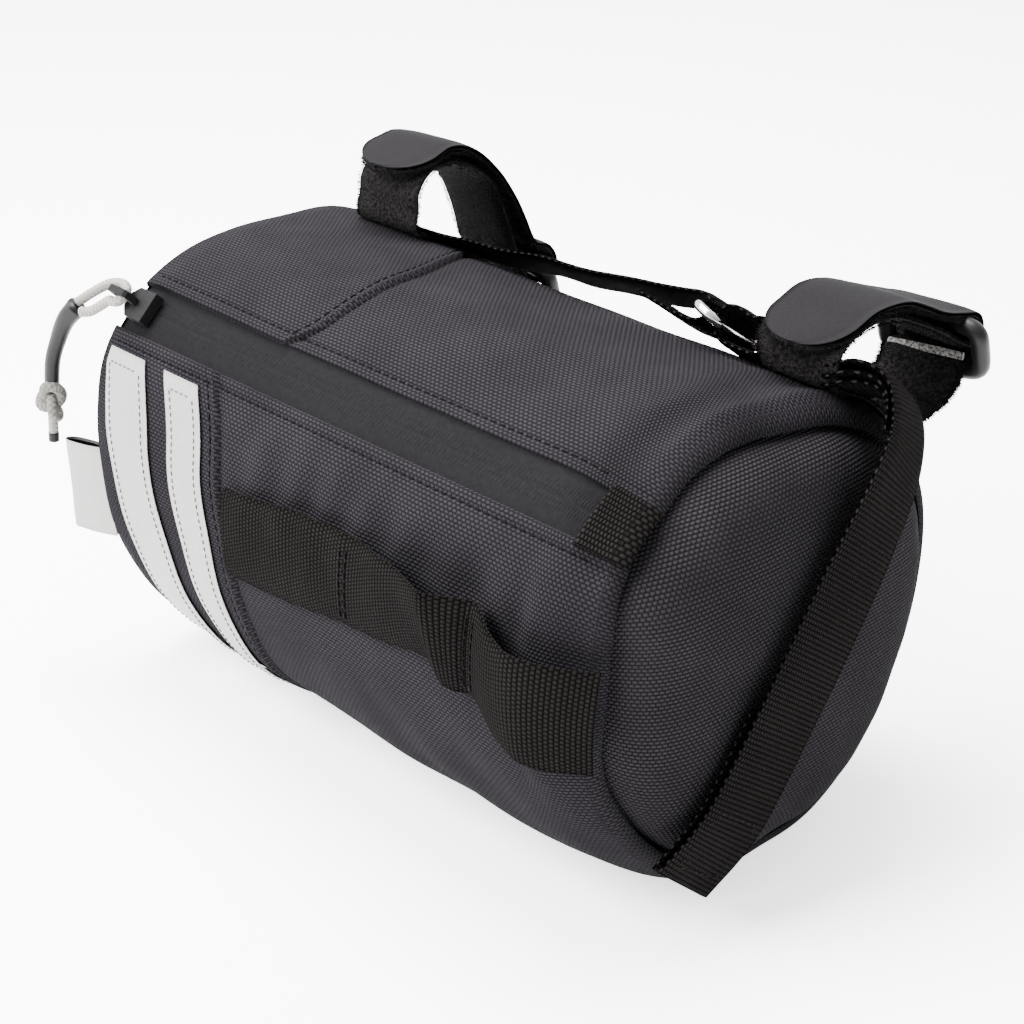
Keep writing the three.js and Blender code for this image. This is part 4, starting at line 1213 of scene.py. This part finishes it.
def build_cord():
    """The slider's cord loop and what is on it: a sleeve, a knot that is a tube along a
    trefoil, and a tail with a dark tip."""
    knot = sum(box_of("pull_knot")) / 2
    sleeve = tube("sleeve", SLEEVE_ROUTE, [3.0, 2.6, 2.3, 2.2, 2.1], MATERIALS["sleeve_plastic"], sides=16)
    dress(sleeve, "sleeve_plastic", "pull_sleeve")
    t = np.linspace(0, 2 * np.pi, 140, endpoint=False)
    trefoil = [
        1.5 * (np.cos(t) - 2 * np.cos(2 * t)),
        -1.6 * np.sin(3 * t),
        0.4 + 1.75 * (np.sin(t) + 2 * np.sin(2 * t)),
    ]
    wrap = knot + np.stack(trefoil, axis=-1)
    tied = tube("knot", wrap, 1.6, MATERIALS["knotted_cord"], sides=12, closed=True)
    dress(tied, "cord", "pull_knot")
    low, high = box_of("pull_tail")
    top = knot - [0, 0, 3.0]
    foot = np.array([(low[0] + high[0]) / 2, (low[1] + high[1]) / 2, low[2] + 0.2])
    tail = tube("tail", [top, (top + foot) / 2, foot], CORD_RADIUS, MATERIALS["cord"])
    dress(tail, "cord", "pull_tail")
    ends = [foot + (top - foot) * share for share in (0.28, 0.1, -0.02)]
    tip = tube("tail_tip", ends, CORD_RADIUS + 0.1, MATERIALS["tail_tip"])
    dress(tip, "cord")
    path = resample(CORD_ROUTE, 0.4)
    loop = tube("cord", CORD_ROUTE, CORD_RADIUS, MATERIALS["cord"], sides=12, step=0.4)
    dress(loop, "cord", "pull_cord")


def build_seams(sunk=0.12, inset=3.6):
    """Black topstitch along the zipper's two folded edges and along the lap, a little sunk."""
    x = np.linspace(-HALF_LENGTH + 5, HALF_LENGTH - 6, 260)
    threads = []
    for angle, places in (
        (ZIPPER_LOW + degrees_for(inset), x),
        (ZIPPER_HIGH - degrees_for(inset), x[x < 82]),
    ):
        proud = np.where(places < lap_at(angle), LAP_RISE, 0.0) - sunk
        threads.append(on_skin(places, np.full_like(places, angle), proud))
    for angles in (np.linspace(ZIPPER_LOW + 2.5, 168, 160), np.linspace(ZIPPER_HIGH - 3, -60, 120)):
        threads.append(on_skin(lap_at(angles) - inset, angles, LAP_RISE - sunk))
    stitch = bpy.context.scene.bag_sizes.stitch / MM
    stitches = dashes("seam_stitches", threads, MATERIALS["thread"], length=stitch, gap=0.7, radius=0.18)
    dress(stitches, "coated_fabric")


def strap_path(rows, root):
    """Middles of a bar strap's rows, in millimetres."""
    places = []
    for row in rows:
        if row[0] is None:
            places.append(root + STRAP * np.array([0, *row[1:]]))
        else:
            places.append(from_axis(root[0], section_radius(root[0], row[0]) + STRAP * row[1], row[0]))
    return np.array(places)


def tipped(middles, width):
    """The middles with the rounded tip's reach added in the last direction."""
    ahead = unit(middles[-1] - middles[-2])
    return np.vstack([middles, middles[-1] + ahead * width * 0.25, middles[-1] + ahead * width * 0.483])


def raised(middles, across, height):
    """The middles moved along the strap's outer normal."""
    return middles + unit(np.cross(unit(np.gradient(middles, axis=0)), across)) * height


def build_strap(side, place, root_angle, strap_rows, anchor_rows, tab_rows, buckle_place, twist):
    """A strap for the bar: fuzzy loop tape, the anchor that holds the buckle, the free tab,
    smooth on its back and fuzzy under it, and the buckle. The tab's tip twists a little."""
    root = strap_path([(root_angle, 0)], [place])[0]
    across = np.array([1.0, 0, 0])
    pile = MATERIALS["loop_pile"]
    strap, anchor = strap_path(strap_rows, root), strap_path(anchor_rows, root)
    piece = ribbon(f"loop_tape_{side}", strap, across, STRAP, 1.9, pile, wobble=0.2)
    dress(piece, "loop_pile", f"bar_strap_{side}")
    piece = ribbon(f"anchor_tape_{side}", anchor, across, STRAP, 1.8, pile)
    dress(piece, "loop_pile", f"bar_anchor_{side}")
    tab = tipped(strap_path(tab_rows, root), STRAP)
    turned = np.tile(across, (len(tab), 1))
    turned[-3:, 2] = np.array([-0.03, -0.07, -0.1]) * twist
    outer, inner = raised(tab, turned, 0.6), raised(tab, turned, -0.5)
    back = ribbon(f"tab_back_{side}", outer, turned, STRAP, 0.8, MATERIALS["hook_tape"], tip=True, wobble=0.3)
    dress(back, "hook_tape", f"bar_tab_{side}")
    under = ribbon(f"tab_pile_{side}", inner, turned, STRAP - 0.5, 1.3, pile, tip=True, wobble=0.3)
    dress(under, "loop_pile")
    sheets = ((strap, False, 0.75, 0.5), (inner, True, 1.0, 0.0), (anchor, False, 1.0, 0.5))
    for index, (middles, tip, length, upper) in enumerate(sheets):
        grid = band(middles, across, STRAP - 0.4, 9, 1.0, tip)[0]
        name = f"pile_{side}_{index}"
        fuzz = sheet_fibres(name, grid, MATERIALS["pile_fibre"], 9000, length, upper, 0.55, 7 + index)
        dress(fuzz, "loop_pile")
    lean = math.radians(105)
    upright = np.array([0, math.cos(lean), math.sin(lean)])
    path = oblong(root + buckle_place, across, BUCKLE_REACH, upright, BUCKLE_RISE, 0.4, 120)
    plastic = MATERIALS["buckle_plastic"]
    buckle = tube(f"buckle_{side}", path, BUCKLE_WIRE, plastic, sides=16, closed=True, flat=1.15)
    dress(buckle, "buckle_plastic", f"strap_buckle_{side}")
    return root


def build_window(root):
    """What shows in the right buckle's window: the tape round its rear bar and a white edge."""
    rows = [(1.9, 0.22), (2.16, 0.17), (2.36, 0.04), (2.42, -0.14), (2.4, -0.3), (2.3, -0.44)]
    back = root + STRAP * np.array([(-0.05, *row) for row in rows])
    dress(ribbon("window_tape", back, (1, 0, 0), STRAP + 2, 1.6, MATERIALS["loop_pile"]), "loop_pile")
    edge = root + STRAP * np.array([0, 2.1, -0.25])
    line = [edge + [-11.5, 0, -1.2], edge, edge + [12, 0, 1.0]]
    white = ribbon("hook_edge", line, (0, 0.3, 0.95), 2.0, 1.2, MATERIALS["white_hooks"], columns=5)
    dress(white, "hook_tape")


def dress_slider():
    """The slider and its arch keep their solids, in dark metal."""
    for name in ("zipper_slider", "slider_bail"):
        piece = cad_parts[name]
        piece.data.materials.clear()
        piece.data.materials.append(MATERIALS["slider_metal"])


# The stage


def add_area(name, place, target, size, power):
    """A soft square light that looks at a point."""
    light = bpy.data.lights.new(name, "AREA")
    light.shape, light.size, light.energy = "SQUARE", size, power
    lamp = bpy.data.objects.new(name, light)
    lamp.location = place
    lamp.rotation_euler = (Vector(target) - Vector(place)).to_track_quat("-Z", "Y").to_euler()
    bpy.context.scene.collection.objects.link(lamp)


def build_stage(values):
    """The camera, a white floor, a sky that is brighter towards the bag's left, and two large
    soft lights: one over the bag and one in front of it."""
    scene = bpy.context.scene
    camera_data = bpy.data.cameras.new("camera")
    camera_data.lens, camera_data.sensor_width = values.lens, 36.0
    camera_data.clip_start, camera_data.clip_end = 0.01, 20.0
    camera = bpy.data.objects.new("camera", camera_data)
    target = Vector((0.005319, 0, 0.065925))
    turn, rise = values.azimuth, values.elevation
    away = Vector((math.sin(turn) * math.cos(rise), -math.cos(turn) * math.cos(rise), math.sin(rise)))
    camera.location = target + away * values.distance
    camera.rotation_euler = (-away).to_track_quat("-Z", "Y").to_euler()
    scene.collection.objects.link(camera)
    scene.camera = camera

    floor_mesh = bpy.data.meshes.new("floor")
    floor_mesh.from_pydata([(-4, -4, 0), (4, -4, 0), (4, 4, 0), (-4, 4, 0)], [], [(0, 1, 2, 3)])
    floor_mesh.materials.append(MATERIALS["floor"])
    floor = bpy.data.objects.new("floor", floor_mesh)
    scene.collection.objects.link(floor)

    world = bpy.data.worlds.new("pale sky")
    world.use_nodes = True
    background = world.node_tree.nodes["Background"]
    background.inputs["Color"].default_value = (1, 1, 1, 1)
    tree = world.node_tree
    parts = node(tree, "SeparateXYZ", {0: node(tree, "TexCoord").outputs["Generated"]})
    strength = spread(tree, parts.outputs[0], -1.0, 1.0, 1.75 * values.sky, 0.25 * values.sky)
    tree.links.new(strength, background.inputs["Strength"])
    scene.world = world
    add_area("overhead", (-0.25, 0.1, 1.1), (0, 0, 0.08), 0.6, values.key)
    add_area("front", (-0.5, -0.85, 1.0), (0, 0, 0.06), 0.8, values.fill)


# Operators, one for each piece or group of like pieces


class BAG_OT_stage(bpy.types.Operator):
    """Makes the materials, the camera, the floor and the lights."""

    bl_idname = "bag.stage"
    bl_label = "Stage"

    def execute(self, context):
        make_materials(context.scene.bag_colours)
        build_stage(context.scene.bag_stage)
        return {"FINISHED"}


class BAG_OT_pull(bpy.types.Operator):
    """Makes the cord on the slider with its sleeve, knot and tail."""

    bl_idname = "bag.pull"
    bl_label = "Slider pull"

    def execute(self, context):
        build_cord()
        return {"FINISHED"}


class BAG_OT_barrel(bpy.types.Operator):
    """Makes the two sections of the barrel's cloth."""

    bl_idname = "bag.barrel"
    bl_label = "Barrel"

    def execute(self, context):
        build_barrel(context.scene.bag_sizes)
        return {"FINISHED"}


class BAG_OT_ends(bpy.types.Operator):
    """Makes the round cloth at each end."""

    bl_idname = "bag.ends"
    bl_label = "End discs"

    def execute(self, context):
        build_ends()
        return {"FINISHED"}


class BAG_OT_zipper(bpy.types.Operator):
    """Makes the zip's tapes and its end tab, and finishes the slider."""

    bl_idname = "bag.zipper"
    bl_label = "Zipper"

    def execute(self, context):
        build_zipper()
        dress_slider()
        return {"FINISHED"}


class BAG_OT_stripes(bpy.types.Operator):
    """Makes the two light bands beside the lap."""

    bl_idname = "bag.stripes"
    bl_label = "Reflective bands"

    def execute(self, context):
        build_stripes()
        return {"FINISHED"}


class BAG_OT_front(bpy.types.Operator):
    """Makes the looped webbing on the front."""

    bl_idname = "bag.front"
    bl_label = "Front webbing"

    def execute(self, context):
        build_front_webbing()
        return {"FINISHED"}


class BAG_OT_end_strap(bpy.types.Operator):
    """Makes the webbing over the right end."""

    bl_idname = "bag.end_strap"
    bl_label = "End strap"

    def execute(self, context):
        build_end_strap()
        return {"FINISHED"}


class BAG_OT_top(bpy.types.Operator):
    """Makes the webbing on the upper back and its ring."""

    bl_idname = "bag.top"
    bl_label = "Top webbing"

    def execute(self, context):
        build_top_webbing()
        return {"FINISHED"}


class BAG_OT_straps(bpy.types.Operator):
    """Makes the two straps for the bar with their buckles."""

    bl_idname = "bag.straps"
    bl_label = "Bar straps"

    def execute(self, context):
        left, right = (LEFT_STRAP, LEFT_ANCHOR, LEFT_TAB), (RIGHT_STRAP, RIGHT_ANCHOR, RIGHT_TAB)
        build_strap("left", LEFT_PLACE, LEFT_ROOT_ANGLE, *left, LEFT_BUCKLE, 0.6)
        build_window(build_strap("right", RIGHT_PLACE, RIGHT_ROOT_ANGLE, *right, RIGHT_BUCKLE, 1.0))
        return {"FINISHED"}


class BAG_OT_label(bpy.types.Operator):
    """Makes the folded label in the left seam."""

    bl_idname = "bag.label"
    bl_label = "Side label"

    def execute(self, context):
        build_label()
        return {"FINISHED"}


class BAG_OT_seams(bpy.types.Operator):
    """Makes the stitches along the zip and the lap."""

    bl_idname = "bag.seams"
    bl_label = "Topstitch"

    def execute(self, context):
        build_seams()
        return {"FINISHED"}


class BAG_PT_pieces(bpy.types.Panel):
    """Lists the bag's sizes and the pieces that can be made."""

    bl_label = "Handlebar bag"
    bl_space_type = "VIEW_3D"
    bl_region_type = "UI"
    bl_category = "Bag"

    def draw(self, context):
        layout = self.layout
        for group in (context.scene.bag_sizes, context.scene.bag_colours, context.scene.bag_stage):
            for name in group.__annotations__:
                layout.prop(group, name)
        for step in PIECES:
            layout.operator(step.bl_idname)


PIECES = (
    BAG_OT_stage,
    BAG_OT_pull,
    BAG_OT_barrel,
    BAG_OT_ends,
    BAG_OT_zipper,
    BAG_OT_stripes,
    BAG_OT_front,
    BAG_OT_end_strap,
    BAG_OT_top,
    BAG_OT_straps,
    BAG_OT_label,
    BAG_OT_seams,
)
CLASSES = (BagSizes, BagColours, BagStage, *PIECES, BAG_PT_pieces)


def register():
    for kind in CLASSES:
        bpy.utils.register_class(kind)
    bpy.types.Scene.bag_sizes = bpy.props.PointerProperty(type=BagSizes)
    bpy.types.Scene.bag_colours = bpy.props.PointerProperty(type=BagColours)
    bpy.types.Scene.bag_stage = bpy.props.PointerProperty(type=BagStage)


def unregister():
    del bpy.types.Scene.bag_stage
    del bpy.types.Scene.bag_colours
    del bpy.types.Scene.bag_sizes
    for kind in reversed(CLASSES):
        bpy.utils.unregister_class(kind)


def main():
    """Makes the bag piece by piece."""
    register()
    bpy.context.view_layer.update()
    bpy.ops.bag.stage()
    bpy.ops.bag.pull()
    bpy.ops.bag.barrel()
    bpy.ops.bag.ends()
    bpy.ops.bag.zipper()
    bpy.ops.bag.stripes()
    bpy.ops.bag.front()
    bpy.ops.bag.end_strap()
    bpy.ops.bag.top()
    bpy.ops.bag.straps()
    bpy.ops.bag.label()
    bpy.ops.bag.seams()


if __name__ == "__main__":
    main()
